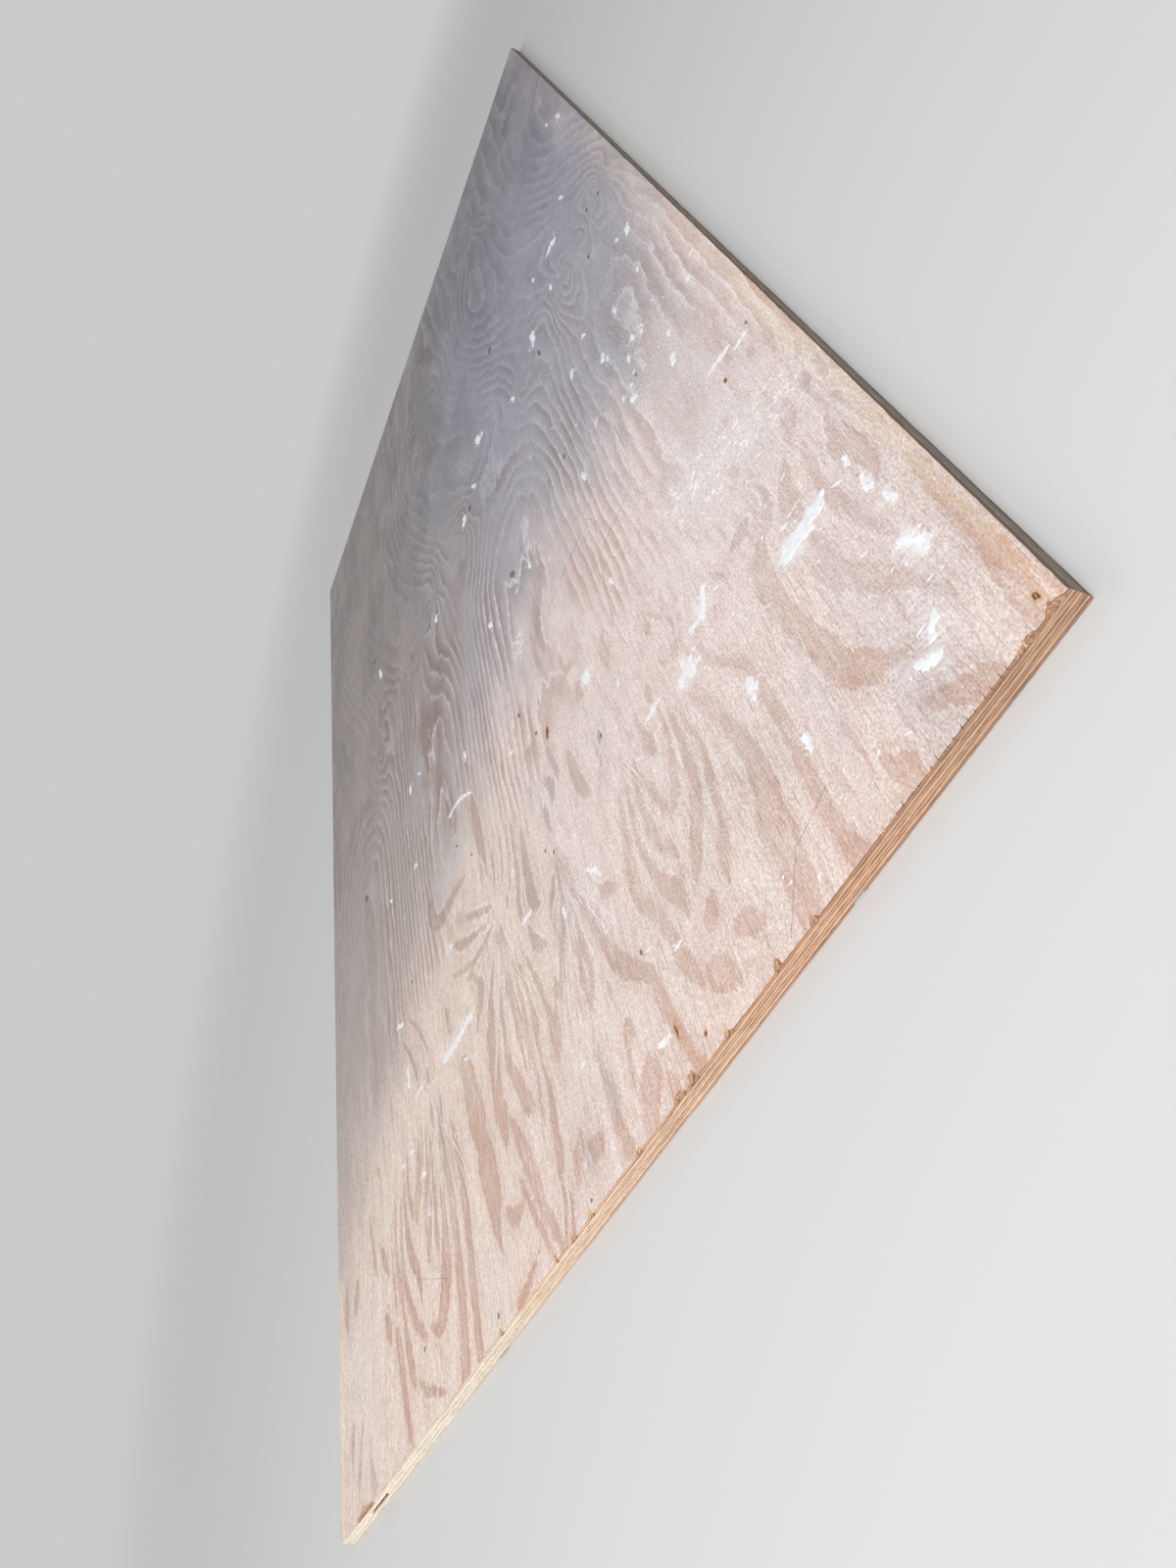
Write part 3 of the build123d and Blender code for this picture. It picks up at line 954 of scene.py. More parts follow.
# Dark marks: x, y, half length, half width, turn
DARK_MARKS = [
    (-50, 548, 7, 5, 0), (-70, 523, 10, 5, 0), (18, 489, 10, 4, 0), (-28, 352, 18, 5, 5),
    (-300, 260, 15, 9, 15), (-65, 103, 12, 9, 0), (234, 164, 17, 8, 20), (212, -428, 15, 9, 50),
    (500, -57, 5, 3.5, 40), (449, -92, 6, 3, 30), (508, -270, 7, 3, 40), (984, -136, 5, 4, 0),
    (512, 131, 6, 4, 25), (448, 106, 9, 4, 20), (235, 322, 12, 3, 0), (990, 53, 3, 3, 0),
    (-290, -326, 12, 8, 30), (525, 573, 6, 2, 0), (340, 459, 8, 2, 0), (873, 198, 5, 3, 10),
    (930, -314, 5, 4, 0), (656, 98, 5, 3, 0), (645, 232, 6, 3, 0), (672, 112, 6, 3, 0),
]

# Marks brown in an ochre rim: resin, a knot hole, a split and a bark pocket, whose dark cores are partly
# painted shade: x, y, half length, half width, turn
RESIN_AND_PIT_MARKS = [
    (540, 529, 7, 4, 0), (536, 151, 17, 7, -15), (985, 586, 7, 4.5, 0), (957, 212, 16, 3, 5),
    (982, 241, 5, 3.4, 0),
]


def wood_figure(s, aged):
    """Share of dark late wood, and the white lines of raised grain beside it round the whorls."""
    rings = (
        s.attribute("rings")
        + s.swing((190, 70, 60), 0.75, 0.0, 1.0)
        + s.swing((60, 13, 20), 0.42, 3.1)
        + s.swing((15, 3.2, 5), 0.16, 6.3, 1.0)
    )
    phase = s.math("FRACT", rings)
    late = s.step(phase, 0.18, 0.8) * s.step(phase, 1.0, 0.93)
    ring_place = s.vector(s.math("FLOOR", rings) * 0.37, s.x * 4.0, 0.0)
    strength = s.step(s.noise((1000, 1000, 1000), 0.0, 1.0, place=ring_place), 0.3, 0.7, 0.5, 1.0)
    patchy = s.step(s.noise((190, 80, 60), 9.0), 0.34, 0.62, 0.25, 1.0)
    late = late * strength * patchy
    if not aged:
        return late, None, None
    near = s.attribute("traced")
    shown = (1.0 - s.attribute("faint")) * (1.0 - near)
    bold = s.step(s.x, 0.06, 0.26) * s.step(s.y, -0.56, -0.4)
    calm = s.step(s.x, -0.25, 0.1, 0.5, 1.0)
    late = late * shown * calm * (0.9 + bold * 0.4)
    fan_place = s.vector(s.x, s.attribute("fan_across") * 0.1, 0.0)
    fans = s.swing((90, 6, 9), 4.4, 13.0, 1.0, fan_place) * s.attribute("fan_share")
    smooth_depth = s.attribute("bands") + s.swing((34, 13, 20), 3.0, 1.0, 1.0)
    smooth_depth = smooth_depth + fans * 1.7
    depth = smooth_depth + s.swing((16, 1.4, 5), 7.0, 3.0) + s.swing((4, 0.9, 2), 3.6, 5.0, 1.0)
    crisp = s.step(s.noise((70, 26, 20), 47.0, 1.0), 0.36, 0.6, 0.6, 2.8)
    band = s.step(depth * crisp, -2.6, 2.2)
    depths = (
        s.step(s.noise((120, 40, 30), 17.0), 0.3, 0.7, 0.66, 1.05)
        + s.swing((34, 5, 9), 0.4, 19.0)
        + s.step(smooth_depth, 3.0, 10.0) * -0.2
    )
    echo = s.line(depth + s.swing((90, 30, 20), 2.0, 27.0, 1.0), -6.5, 2.6)
    wisps = s.step(s.noise((75, 8, 20), 57.0), 0.54, 0.68) * near
    bolder = s.step(s.y, 0.42, -0.32, 0.85, 1.3)
    late = s.largest(late, band * depths * bolder, echo * 0.3, wisps * 0.4)
    late = s.largest(late, s.step(fans, 0.2, 1.2) * 0.7)
    broken = s.step(s.noise((24, 9, 9), 61.0), 0.42, 0.6)
    raised = s.line(smooth_depth, -2.6, 1.6) * s.attribute("whorl") * broken
    raised = s.largest(raised, s.step(fans, -0.4, -1.2) * (0.35 + broken * 0.65) * 0.9)
    crest = s.step(phase, 0.0, 0.05) * s.step(phase, 0.2, 0.06)
    raised = s.largest(raised, crest * patchy * shown * calm * (0.3 + bold * 0.4))
    rim = s.line(depth, 0.4, 1.4)
    return late, raised, rim


def face_material(name, aged):
    """Rotary-cut pine: growth bands, fibres, and on the aged face its weather and marks."""
    s = Shader(name, 0.8)
    figure, raised, rim = wood_figure(s, aged)
    hue = s.step(s.noise((240, 120, 90), 4.0), 0.35, 0.65)
    hue = s.step(s.y + hue * 0.2, 0.3, -0.1)
    light = s.blend(hue, (245, 234, 230), (249, 236, 227))
    dark = s.blend(hue, (192, 162, 151), (192, 159, 141))
    dark = s.blend(s.step(s.x, 0.76, 0.98), dark, (192, 153, 134))

    # Fibres, pores and hairline checks
    fibre = s.noise((38, 1.0, 3), 2.0, 3.0, 0.6)
    fine_fibre = s.noise((7, 0.6, 2), 5.0, 2.0, 0.6)
    pores = s.noise((2.4, 1.5, 2), 25.0, 2.0, 0.65)
    cloud = s.noise((70, 26, 30), 11.0, 3.0, 0.55)
    patches = s.noise((14, 6, 9), 35.0, 3.0, 0.6)
    texture = fibre * 0.8 + fine_fibre * 0.3 + pores * 0.8
    texture = texture + cloud * 0.3 + patches * 0.5
    depth = -0.96 + texture + figure * 0.42
    s.base = s.blend(s.step(depth, -0.12, 1.18), light, dark)
    checks = s.step(s.noise((26, 0.8, 3), 12.0, 1.0), 0.66, 0.76)
    toward_end = s.step(s.x, 0.3, 0.95, 0.2, 0.65)
    s.cover(checks * toward_end, 140, 112, 100)
    relief = figure * 0.4 + fibre * 0.7 + fine_fibre * 0.4 + pores * 0.4

    if aged:
        relief = weathered(s, relief, figure, raised, rim)
    return s.finish(relief, 0.35 * MM, 0.6)


def weathered(s, relief, figure, raised, rim):
    """Tints, stains, grey weathering with painted shade, plaster dust and marks over the face. Gives back
    its new relief.
    """
    rusty = rim * s.step(s.noise((60, 22, 20), 41.0), 0.52, 0.72) * 0.4
    s.cover(rusty, 196, 142, 112)
    uneven = s.step(s.noise((24, 7, 9), 77.0, 3.0, 0.65), 0.36, 0.6, 0.15, 1.0)
    warm = s.attribute("warm") * s.step(figure, 0.0, 1.0, 0.45, 1.0) * uneven * 0.8
    s.cover(warm, 212, 158, 124)
    s.cover(s.attribute("cream") * 0.8, 242, 228, 200)
    blotch = s.step(s.noise((60, 30, 30), 0.0, 3.0), 0.35, 0.6)
    s.cover(s.attribute("stain") * blotch * 0.75, 172, 124, 112)

    # Grey over the face, thin near the sawn end and cooler further in, which dims the wood it covers:
    # partly weathered grey, partly painted shade
    cloud = s.swing((110, 46, 40), 0.3, 7.0, 4.0)
    veil = s.step(s.attribute("veil") + cloud, 0.04, 0.96)
    s.cover(veil * 0.62, 226, 221, 222)
    film_and_shade = s.step(s.attribute("film_and_shade") + cloud * 1.3, 0.0, 1.0)
    # Painted shade: darker and bluer further in along a slanting line, and the figure darker and blotchy
    # there
    far_grey_and_shade = s.step(s.x + s.y * 0.45, 0.5, -0.5)
    bluish_shade = s.step(s.y, -0.35, 0.35) * s.step(s.x, -0.75, -0.25, 0.4, 1.0)
    s.tint(film_and_shade, s.blend(bluish_shade, (0.61, 0.63, 0.66, 1), (0.56, 0.64, 0.75, 1)))
    s.tint(far_grey_and_shade, s.blend(bluish_shade, (0.62, 0.65, 0.69, 1), (0.63, 0.68, 0.76, 1)))
    s.dim(1.0 - figure * far_grey_and_shade * 0.24)
    blotches = s.step(s.noise((170, 80, 60), 71.0), 0.32, 0.66, 0.86, 1.08)
    s.dim(1.0 + far_grey_and_shade * (blotches - 1.0))
    whorl = s.attribute("whorl")
    s.cover(whorl * figure * 0.5, 176, 168, 168)
    s.cover(raised * 0.7, 245, 240, 238)
    mould = s.attribute("smudge") * 0.8 + s.swing((9, 4, 6), 0.5, 81.0, 4.0)
    s.cover(s.step(mould, 0.25, 0.9, 0.0, 0.5), 128, 122, 124)
    grime = s.step(s.noise((300, 160, 90), 15.0, 3.0, 0.6), 0.48, 0.72)
    s.cover(grime * 0.12, 150, 140, 136)

    # Specks, dark and light, and plaster dust
    grainy = s.step(s.y, 0.15, 0.4) * s.step(s.x, -0.1, 0.1)
    grainy = s.largest(grainy, s.step(s.x, 0.3, 0.6))
    coarser = s.step(s.y, 0.05, -0.35)
    fine = s.swing((2.5, 1.7, 2), 0.48, 91.0)
    coarse = s.swing((5.5, 2.6, 2), 0.34, 93.0)
    speckle = fine * (1.0 - coarser * 0.3) + coarse * coarser
    s.dim(1.0 + speckle * grainy)
    dark_dots = s.step(s.noise((3.2, 1.6, 3), 21.0, 1.0), 0.77, 0.84)
    s.cover(dark_dots * 0.4, 120, 98, 88)
    light_dots = s.step(s.noise((3.0, 2.2, 3), 51.0, 1.0), 0.72, 0.79)
    s.cover(light_dots * 0.5, 246, 240, 236)
    along, across = s.turned(0, 0, math.radians(70))
    smear = s.noise((13, 3.5, 8), 18.0, 4.0, 0.7, place=s.vector(along, across, 0.0))
    haze = s.step(s.attribute("haze") * 0.7 + smear * 1.6, 1.02, 1.5)
    s.cover(haze * 0.8, 241, 240, 242)
    relief = relief + haze * 0.6

    # Dark marks, resin and pits with painted shade in their dark cores, and pencil
    ragged = s.swing((5, 2.5, 3), 0.35, 8.0, 3.0)
    dark = s.step(s.spots(DARK_MARKS) + ragged, 0.35, 0.62)
    s.cover(dark * 0.8, 92, 80, 70)
    resin_and_pit = s.spots(RESIN_AND_PIT_MARKS) + ragged * 1.6
    s.cover(s.step(resin_and_pit, 0.15, 0.5, 0.0, 0.8), 212, 168, 118)
    s.cover(s.step(resin_and_pit, 0.55, 0.85), 112, 78, 52)
    wander = s.swing((40, 40, 40), 1.2 * MM, 30.0, 1.0)
    pencil = s.largest(*[s.stroke(*ends, width, wander) for *ends, width in PENCIL_LINES])
    worn = s.step(s.noise((12, 12, 9), 33.0, 2.0, 0.6), 0.25, 0.6, 0.35, 1.0)
    s.cover(pencil * worn * 0.5, 112, 106, 106)
    # Dark at the nicks of the saw: painted shade in the narrow cuts
    s.cover(s.attribute("cut") * 0.95, 96, 68, 52)
    relief = relief + dark * -1.2
    return relief


def edge_material(name, grain_along_sheet):
    """Cut edge of one veneer: end grain or side grain, fresh on the sawn end and grey elsewhere."""
    s = Shader(name, 0.82)
    labels = ("run", "layer", "ply", "on_end", "sawn", "torn")
    run, layer, ply, on_end, sawn, torn = [s.attribute(label) for label in labels]
    s.place = s.vector(run, layer * PLY_THICKNESS, ply * 0.35)
    end_grain = on_end if grain_along_sheet else 1.0 - on_end
    outer = s.largest(s.step(ply, 0.6, 0.4), s.step(ply, 5.4, 5.6))

    # The sawn end is brown by the upper corner and cream towards the lower one
    pale = s.step(s.y * -1.0 + s.swing((160, 4, 300), 0.12), -0.5, 0.25)
    browner = s.step(s.y, -0.30, 0.0)

    # End grain: growth lines that drift through the veneer, and pores
    drift = s.swing((70, 3, 350), 1.7, 2.0, 1.0)
    ring = s.math("FRACT", layer * 1.5 + drift + s.swing((7, 0.8, 300), 0.22, 5.0))
    ring_line = s.step(ring, 0.35, 0.7) * s.step(ring, 1.0, 0.9)
    pores = s.noise((0.8, 0.5, 300), 3.0, 2.0, 0.6)
    end_light = s.blend(pale, (220, 182, 154), (254, 242, 224))
    end_dark = s.blend(pale, (160, 116, 90), (238, 212, 180))
    end = s.blend(ring_line * 0.7, end_light, end_dark)
    tan = s.blend(ring_line * 0.6, (204, 164, 140), (168, 122, 98))
    end = s.blend(outer * s.step(pale, 0.0, 1.0, 0.8, 0.3), end, tan)
    end = s.shade(end, s.step(pores, 0.25, 0.75, 0.87, 1.07))

    # Side grain: long fine streaks
    streak = s.noise((30, 0.28, 300), 4.0, 3.0, 0.6)
    side_light = s.blend(pale, (238, 202, 172), (255, 250, 238))
    side_dark = s.blend(pale, (184, 142, 114), (248, 230, 204))
    side = s.blend(s.step(streak, 0.44, 0.68), side_light, side_dark)
    s.base = s.blend(end_grain, side, end)

    # Each veneer has its own tint
    along_each = s.vector(run * 0.4, 0.0, ply * 0.9)
    tint = s.noise((220, 100, 100), 1.0, 1.0, place=along_each)
    s.dim(s.step(tint, 0.3, 0.7, 0.9, 1.05))
    s.tint(browner, (0.95, 0.85, 0.77, 1))
    # Darker and bluer at the upper corner of the edge: painted shade
    s.dim(s.step(s.y, 0.36, 0.54, 1.0, 0.8))
    s.tint(s.step(s.y, 0.36, 0.54), (0.96, 1.02, 1.07, 1))
    # Lighter towards the lower corner of the edge: painted light
    s.dim(s.step(s.y, -0.22, -0.42, 1.0, 1.07))

    # Weathered edges: the long sides are dark grey, ply by ply, and the far end is in between
    grey_streak = s.noise((45, 0.5, 300), 8.0, 3.0, 0.6)
    streaks = s.step(grey_streak, 0.3, 0.7, 0.8, 1.15)
    grey = s.blend(s.step(ply, 0.5, 2.0), (92, 84, 77), (128, 122, 112))
    grey = s.blend(s.line(ply, 2.0, 1.0) * s.step(layer, 0.5, 0.1), grey, (178, 172, 160))
    # Darkest on the lowest plies: painted shade along the bottom of the edge
    grey = s.blend(s.step(ply, 4.4, 6.0), grey, (66, 60, 56))
    grey = s.shade(grey, streaks)
    old = (1.0 - sawn) * (1.0 - on_end * 0.35)
    s.base = s.blend(old * 0.93, s.base, grey)

    # Glue lines, broken here and there, and wider dark lines at the joints towards the upper corner: dark
    # glue, and painted shade under the lips of the veneers
    mid = 0.5 - s.math("ABSOLUTE", layer - 0.5)
    gap_noise = s.noise((24, 2, 200), 6.0)
    brown_end = s.step(s.y, -0.2, 0.2)
    glue = s.step(mid, 0.18, 0.06) * s.step(gap_noise, 0.38, 0.6, 0.2, 1.0)
    wide_glue_and_shade = s.step(mid, 0.3, 0.1) * s.step(gap_noise, 0.42, 0.62) * brown_end
    s.cover(s.largest(glue, wide_glue_and_shade) * 0.85, 104, 70, 50)

    # Torn wood in the chips
    rip = s.noise((1.6, 0.7, 100), 7.0, 3.0, 0.6)
    rip_colour = s.blend(s.step(rip, 0.36, 0.52), (108, 76, 58), (184, 140, 110))
    rip_colour = s.blend(s.step(rip, 0.54, 0.62), rip_colour, (220, 188, 156))
    s.base = s.blend(torn * 0.85, s.base, rip_colour)
    # Dark at the nicks of the saw, at the top of the edge: painted shade in the narrow cuts
    s.cover(s.attribute("cut") * s.step(layer, 0.5, 0.1) * 0.9, 74, 50, 36)
    relief = pores * 0.5 + streak * 0.6 + rip * 0.3
    return s.finish(relief, 0.25 * MM, 0.7)


def cap_material():
    """Hidden faces of the veneers, seen only in chips: torn wood and dried glue."""
    s = Shader("torn_glue_face", 0.85)
    fibres = s.noise((0.8, 14, 3), 0.0, 3.0, 0.6)
    clots = s.noise((3, 5, 3), 4.0, 2.0, 0.6)
    s.base = s.blend(s.step(fibres, 0.35, 0.65), (164, 124, 98), (208, 170, 140))
    s.cover(s.step(clots, 0.5, 0.62), 128, 94, 74)
    return s.finish(fibres, 0.3 * MM, 0.8)


def plaster_material():
    """Dabs of dried white plaster."""
    s = Shader("dried_plaster", 0.9)
    grain = s.noise((1.4, 1.0, 1.4), 0.0, 3.0, 0.6)
    broad = s.noise((7, 5, 7), 3.0)
    s.base = s.blend(s.step(broad, 0.35, 0.65), (232, 232, 234), (243, 245, 250))
    return s.finish(grain, 0.3 * MM, 0.7)


def splinter_material():
    """Fresh pale slivers raised by the saw."""
    s = Shader("raised_splinters", 0.8)
    fibres = s.noise((6, 0.4, 0.4), 0.0, 2.0, 0.6)
    s.base = s.blend(s.step(fibres, 0.3, 0.7), (204, 164, 132), (244, 224, 196))
    return s.finish()


# Dabs of plaster on the face: x, y, half length, half width, turn
PLASTER_DABS = [
    (360, 562, 5, 4, 0), (509, 536, 14, 4, 62), (531, 560, 9, 2, 75), (375, 513, 5, 3, -15),
    (412, 503, 8, 5, 0), (362, 443, 7, 6, 50), (340, 448, 4, 3, 0), (336, 432, 3, 2, 0),
    (766, 512, 22, 9, 82), (762, 492, 12, 10, 80), (768, 560, 6, 3, 0), (802, 561, 9, 4, 0),
    (832, 566, 7, 3, 20), (886, 562, 6, 5, 0), (872, 557, 10, 3, 30), (935, 536, 8, 5, -50),
    (948, 522, 10, 4, 60), (900, 425, 8, 4, 0), (993, 425, 3, 2, 0), (812, 408, 10, 8, 20),
    (690, 402, 16, 3, -30), (697, 386, 9, 2.5, 70), (724, 362, 9, 8, 0), (724, 346, 5, 6, 0),
    (709, 356, 4, 3, 0), (560, 238, 8, 8, 0), (512, 318, 7, 3, 10), (626, 278, 3, 3, 0),
    (705, 306, 12, 2, 88), (745, 106, 6, 3, 0), (752, 166, 15, 3, 35), (906, 243, 5, 2, 80),
    (953, 194, 8, 2, 80), (688, 40, 11, 2, 80), (474, 74, 5, 2, 50), (346, -35, 9, 3, 10),
    (408, -44, 13, 1.5, 52), (394, -65, 14, 2, 62), (387, -90, 14, 2, 84), (563, -143, 5, 4, 40),
    (684, -146, 36, 3, 88), (682, -176, 22, 5, 86), (721, -138, 6, 2, 60), (348, -224, 6, 4, 60),
    (664, -275, 12, 2, 88), (812, -272, 5, 3, 0), (718, -312, 6, 3, 80), (717, -341, 5, 3, 70),
    (537, -320, 11, 3, 65), (318, -323, 6, 2, 40), (622, -306, 14, 3, 0), (765, -280, 6, 2, 70),
    (120, 547, 10, 5, -25), (100, 530, 5, 2, 0), (210, 528, 5, 2, 0), (-220, 504, 9, 3, 10),
    (-177, 452, 12, 11, 50), (-95, 418, 8, 3, 0), (-200, 397, 8, 2, 0), (-85, 354, 15, 8, 0),
    (-65, 272, 9, 3, 15), (-165, 168, 16, 9, 20), (-90, 128, 11, 5, 25), (-68, 80, 11, 8, 0),
    (223, 433, 6, 6, 10), (238, 440, 5, 3, 0), (195, 478, 6, 2, 15), (125, 426, 7, 3, 20),
    (285, 478, 6, 3, 0), (295, 495, 4, 2, 0), (302, 491, 3, 4, 0), (302, 462, 5, 3, 0),
    (140, 385, 8, 3, -10), (323, 338, 9, 3, 10), (278, 201, 7, 4, -10), (235, 90, 9, 6, 20),
    (200, -216, 8, 10, 0), (206, -181, 7, 2, 40), (-10, -55, 8, 8, 0), (-215, -300, 15, 6, 20),
    (-415, 575, 11, 5, 0), (-470, 555, 6, 3, 0),
]

# Where small splashes are scattered: x, y, spread along, spread across, how many
SPLASHES = [
    (570, 430, 30, 34, 60), (600, 485, 34, 40, 70), (632, 528, 24, 24, 24), (640, 555, 30, 24, 40),
    (330, 480, 70, 50, 24), (740, 500, 46, 36, 22), (900, 540, 50, 26, 22), (650, 345, 26, 20, 16),
    (720, 380, 30, 40, 20), (358, 138, 16, 10, 16), (850, 120, 90, 90, 22),
    (800, -250, 120, 120, 18), (200, 300, 260, 200, 30), (960, 420, 30, 90, 14),
    (880, -30, 90, 80, 12),
]

# Flakes: points round one, height of its underside, how thick it is, and in millimetres how far
# along and across the sheet one may lie
FLAKE_POINTS = 10
FLAKE_BED = TOP_Z - 0.15 * MM
FLAKE_HEIGHT = 0.32 * MM
PLASTER_END = 990
PLASTER_SIDE = 594
PLASTER_REACH = END_X - 1 * MM


def small_things(name, vertices, faces, material):
    """One piece of small things that lie on the face."""
    new_piece(name, vertices, faces, {}, [material], [0] * len(faces), "weathered_face")


def turned(x, y, along, across, angle):
    """The place that lies so far from x, y along a direction and across it."""
    cos, sin = math.cos(angle), math.sin(angle)
    return x + along * cos - across * sin, y + along * sin + across * cos


def flake(vertices, faces, x, y, half_length, half_width, turn, rng):
    """Add one thin ragged flake, in millimetres and radians, unless it would hang over an edge."""
    if abs(x) >= PLASTER_END or abs(y) >= PLASTER_SIDE:
        return
    around = FLAKE_POINTS
    wobble = 1 + 0.32 * rng.standard_normal(around).clip(-1.3, 1.3)
    height = FLAKE_HEIGHT * (0.6 + 0.8 * rng.random())
    start = len(vertices)
    for share, z in ((1.0, FLAKE_BED), (0.94, TOP_Z + height * 0.6), (0.66, TOP_Z + height)):
        for k in range(around):
            a = 2 * math.pi * (k + 0.5) / around
            u = half_length * wobble[k] * math.cos(a) * (1 - (1 - share) * half_width / half_length)
            v = half_width * wobble[(k + 3) % around] * math.sin(a) * share
            px, py = turned(x, y, u, v, turn)
            vertices.append((min(px * MM, PLASTER_REACH), py * MM, z))
    for a in (start, start + around):
        for k in range(around):
            n = (k + 1) % around
            faces.append((a + k, a + n, a + n + around, a + k + around))
    faces.append(tuple(start + 2 * around + k for k in range(around)))
    faces.append(tuple(start + k for k in reversed(range(around))))


def dab(vertices, faces, x, y, half_length, half_width, turn, rng):
    """Fill an oval with ragged flakes that run into one another, and drop crumbs round it."""
    angle = math.radians(turn)
    count = max(2, round(0.6 * half_length))
    crumbs = 2 + round(0.5 * half_length)
    for k in range(count + crumbs):
        if k < count:
            u = half_length * ((k + 0.5) / count * 1.8 - 0.9)
            v = half_width * 0.3 * rng.standard_normal()
            long = 1.3 + half_length * (0.16 + 0.22 * rng.random())
            short = 0.8 + half_width * (0.25 + 0.25 * rng.random())
        else:
            u = half_length * 0.8 * rng.standard_normal()
            v = half_width * 0.9 * rng.standard_normal()
            long = 0.5 + 1.8 * rng.random() ** 2
            short = 0.35 + 0.4 * rng.random()
        px, py = turned(x, y, u, v, angle)
        slant = angle + 0.35 * rng.standard_normal()
        flake(vertices, faces, px, py, max(long, short), min(long, short), slant, rng)


def plaster():
    """All the plaster on the face, as one piece."""
    rng = np.random.default_rng(8)
    vertices, faces = [], []
    for row in PLASTER_DABS:
        dab(vertices, faces, *row, rng)
    for x, y, spread_x, spread_y, count in SPLASHES:
        for _ in range(count):
            size = 0.4 + 0.7 * rng.random() ** 2
            px = x + spread_x * rng.standard_normal() * 0.6
            py = y + spread_y * rng.standard_normal() * 0.6
            turn = math.radians(76 + 30 * rng.standard_normal())
            long = size * (1.2 + 4 * rng.random() ** 2)
            flake(vertices, faces, px, py, long, size, turn, rng)
    small_things("plaster_dabs", vertices, faces, plaster_material())


# Tufts of slivers by the sawn end: share from the upper corner, inset, spread, count and length.
# Below them: steps along a sliver, how far out one may reach and the height of its root.
TUFTS = [
    (0.012, 15, 5, 12, 7), (0.03, 2, 12, 8, 6), (0.088, 1.5, 112, 28, 3.5), (0.194, 4, 6, 8, 7),
    (0.228, 5, 5, 6, 8), (0.282, 4, 8, 10, 7), (0.325, 6, 9, 16, 8), (0.345, 4, 8, 8, 6),
    (0.322, 44, 10, 12, 12), (0.299, 17, 3, 5, 6), (0.392, 3, 12, 10, 6), (0.462, 3, 8, 10, 8),
    (0.488, 3, 14, 14, 7), (0.514, 3, 5, 6, 9), (0.613, 4, 6, 6, 6), (0.7, 2, 30, 10, 4),
    (0.82, 2, 40, 10, 4), (0.93, 5, 26, 14, 6),
]
SLIVER_STEPS = 5
SLIVER_REACH = END_X + 1.5 * MM
SLIVER_ROOT = TOP_Z - 0.3 * MM


def splinters():
    """Curled slivers of the face veneer, as one piece."""
    rng = np.random.default_rng(21)
    vertices, faces = [], []
    for share, inset, spread, count, length in TUFTS:
        for _ in range(count):
            y = SIDE_Y - share * WIDTH + spread * MM * (rng.random() - 0.5)
            x = END_X - inset * MM * (0.6 + 0.8 * rng.random())
            sliver(vertices, faces, x, y, length * MM * (0.5 + 0.8 * rng.random()), rng)
    small_things("edge_splinters", vertices, faces, splinter_material())


def sliver(vertices, faces, x, y, length, rng):
    """Add one thin sliver that lies along the grain and lifts at its free end."""
    steps = SLIVER_STEPS
    width = (0.35 + 0.45 * rng.random()) * MM
    lift = (0.4 + 1.3 * rng.random()) * MM
    turn = 0.35 * rng.standard_normal()
    sign = 1 if rng.random() < 0.5 else -1
    start = len(vertices)
    for k in range(steps + 1):
        t = k / steps
        cx = min(x + sign * length * (t - 0.5), SLIVER_REACH)
        cy = min(y + length * (t - 0.5) * turn, SIDE_Y)
        cz = SLIVER_ROOT + lift * t * t
        half = width * (1 - 0.75 * t) / 2
        vertices += [(cx, cy - half, cz), (cx, cy, cz + half * 1.2), (cx, cy + half, cz)]
    for a in range(start, start + 3 * steps, 3):
        faces += [(a, a + 1, a + 4, a + 3), (a + 1, a + 2, a + 5, a + 4), (a + 2, a, a + 3, a + 5)]
    last = start + 3 * steps
    faces += [(start, start + 2, start + 1), (last, last + 1, last + 2)]


# Stage: floor, lamps, sky and camera
FLOOR_COLOUR = (0.66, 0.66, 0.66, 1)
BACKGROUND = (0.60, 0.60, 0.60, 1)
FLOOR_REACH = 100.0
FLOOR_FADES = (1.25, 3.0)
SKY_LIGHT = 0.45
PHOTO_HEIGHT = 1600
FOCAL_PIXELS = 1110.8
SENSOR = 36.0
CAMERA_PLACE = Vector((1.3997, 0.7108, 0.4011))
CAMERA_LOOKS = Vector((-0.75053, -0.53073, -0.39374))
CAMERA_RIGHT = Vector((0.18374, 0.40473, -0.89578))

# Lamps: name, place, what it points at, size and power
LAMPS = [
    ("key", (2.8, 1.0, 1.9), (0.7, 0.0, 0.0), 2.2, 76),
    ("fill", (-1.5, -2.2, 2.4), (0.0, 0.0, 0.0), 2.5, 20),
]


def seen_directly(nodes):
    """1 for what the camera, a reflection or a see-through surface shows, 0 for light itself."""
    rays = nodes.node("LightPath").outputs
    seen = ("Is Camera Ray", "Is Glossy Ray", "Is Transmission Ray")
    return nodes.largest(*[Value(nodes, rays[ray]) for ray in seen])


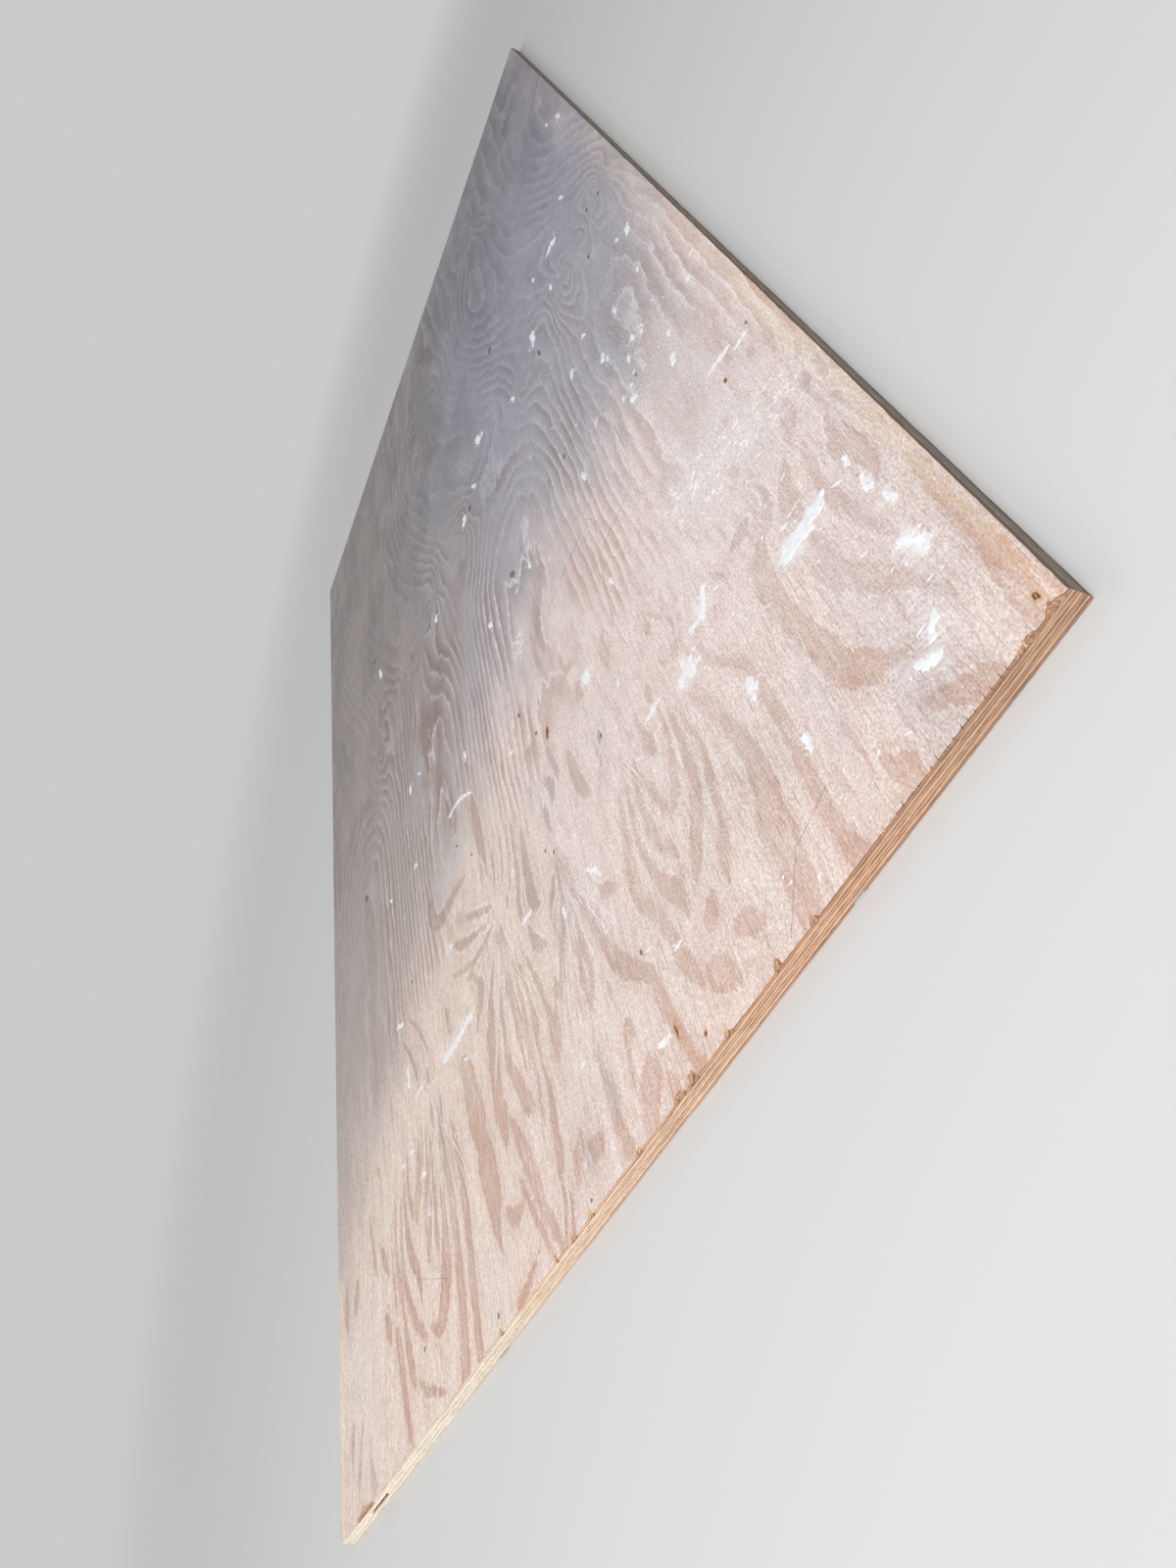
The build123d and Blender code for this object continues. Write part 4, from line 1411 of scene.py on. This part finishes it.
def stage_floor():
    """A wide pale floor that passes into the plain background a few metres out."""
    mesh = bpy.data.meshes.new("floor")
    signs = ((-1, -1), (1, -1), (1, 1), (-1, 1))
    corners = [(a * FLOOR_REACH, b * FLOOR_REACH, 0) for a, b in signs]
    mesh.from_pydata(corners, [], [(0, 1, 2, 3)])
    floor = bpy.data.objects.new("floor", mesh)
    bpy.context.scene.collection.objects.link(floor)
    s = Shader("floor", 0.9)
    s.fill(s.surface, {"Base Color": FLOOR_COLOUR, "Specular IOR Level": 0.0})
    share = s.step(s.length(s.x, s.y), *FLOOR_FADES) * seen_directly(s)
    plain = s.value("Emission", {"Color": BACKGROUND})
    mix = s.value("MixShader", {0: share, 1: Value(s, s.surface.outputs[0]), 2: plain})
    s.fill(s.tree.nodes["Material Output"], {"Surface": mix})
    mesh.materials.append(s.material)


def sky():
    """Even pale light all round, and a plain pale background behind the floor."""
    world = bpy.data.worlds.new("sky")
    bpy.context.scene.world = world
    world.use_nodes = True
    nodes = Nodes(world.node_tree)
    nodes.tree.nodes.clear()
    light = nodes.value("Background", {"Color": (1, 1, 1, 1), "Strength": SKY_LIGHT})
    seen = nodes.value("Background", {"Color": BACKGROUND})
    mix = nodes.value("MixShader", {0: seen_directly(nodes), 1: light, 2: seen})
    nodes.node("OutputWorld", {"Surface": mix})


def area_lamp(name, place, aim, size, power):
    """A square soft lamp that points at a place."""
    data = bpy.data.lights.new(name, "AREA")
    data.shape = "SQUARE"
    data.size = size
    data.energy = power
    lamp = bpy.data.objects.new(name, data)
    bpy.context.scene.collection.objects.link(lamp)
    lamp.location = place
    lamp.rotation_euler = (Vector(aim) - Vector(place)).to_track_quat("-Z", "Y").to_euler()


def camera():
    """The photograph's own view of the sheet, worked out from its corners."""
    data = bpy.data.cameras.new("photo_view")
    data.sensor_fit = "VERTICAL"
    data.sensor_height = SENSOR
    data.lens = FOCAL_PIXELS / PHOTO_HEIGHT * SENSOR
    data.clip_start = 0.01
    data.clip_end = 200.0
    seen_by = bpy.data.objects.new("photo_view", data)
    bpy.context.scene.collection.objects.link(seen_by)
    back = -CAMERA_LOOKS.normalized()
    right = CAMERA_RIGHT - CAMERA_RIGHT.dot(back) * back
    right.normalize()
    turn = Matrix((right, back.cross(right), back)).transposed().to_4x4()
    seen_by.matrix_world = Matrix.Translation(CAMERA_PLACE) @ turn
    bpy.context.scene.camera = seen_by


# What sets the face and the back apart: the grid, the damage and the values read by the material
FACE_SPEC = {
    "up": True,
    "columns": FACE_COLUMNS,
    "row_pitch": 5 * MM,
    "finest": 6,
    "chips": FACE_CHIPS,
    "nicks": True,
    "wear": 0.35 * MM,
    "relief": face_relief,
    "values": {
        "rings": face_rings,
        "bands": band_depth,
        "traced": traced_share,
        "film_and_shade": grey_and_shade_share,
        **{label: tone(label) for label in TONES},
        "haze": plaster_haze,
        "fan_across": lambda x, y: fan_field(x, y)[0],
        "fan_share": lambda x, y: fan_field(x, y)[1],
    },
}
BACK_SPEC = {
    "up": False,
    "columns": BACK_COLUMNS,
    "row_pitch": 8 * MM,
    "finest": 6,
    "chips": BACK_CHIPS,
    "nicks": False,
    "wear": 0.30 * MM,
    "relief": no_relief,
    "values": {"rings": back_rings},
}


def build_sheet():
    """All seven veneers, the plaster and the splinters."""
    edge_along = edge_material("pine_edge_along", True)
    edge_across = edge_material("pine_edge_across", False)
    cap = cap_material()
    face = face_material("weathered_pine_face", True)
    back = face_material("pine_back", False)
    outer_ply("face_veneer", "weathered_face", 0, FACE_SPEC, [face, edge_along, cap])
    for number, (node, material_slot) in enumerate(INNER_PLIES, start=1):
        edge = edge_along if material_slot == "pine_along" else edge_across
        inner_ply(node, material_slot, number, [edge, cap])
    outer_ply("back_veneer", "back_face", 6, BACK_SPEC, [back, edge_along, cap])
    plaster()
    splinters()


build_sheet()
stage_floor()
sky()
for lamp_row in LAMPS:
    area_lamp(*lamp_row)
camera()
bpy.context.scene.view_settings.view_transform = "Standard"
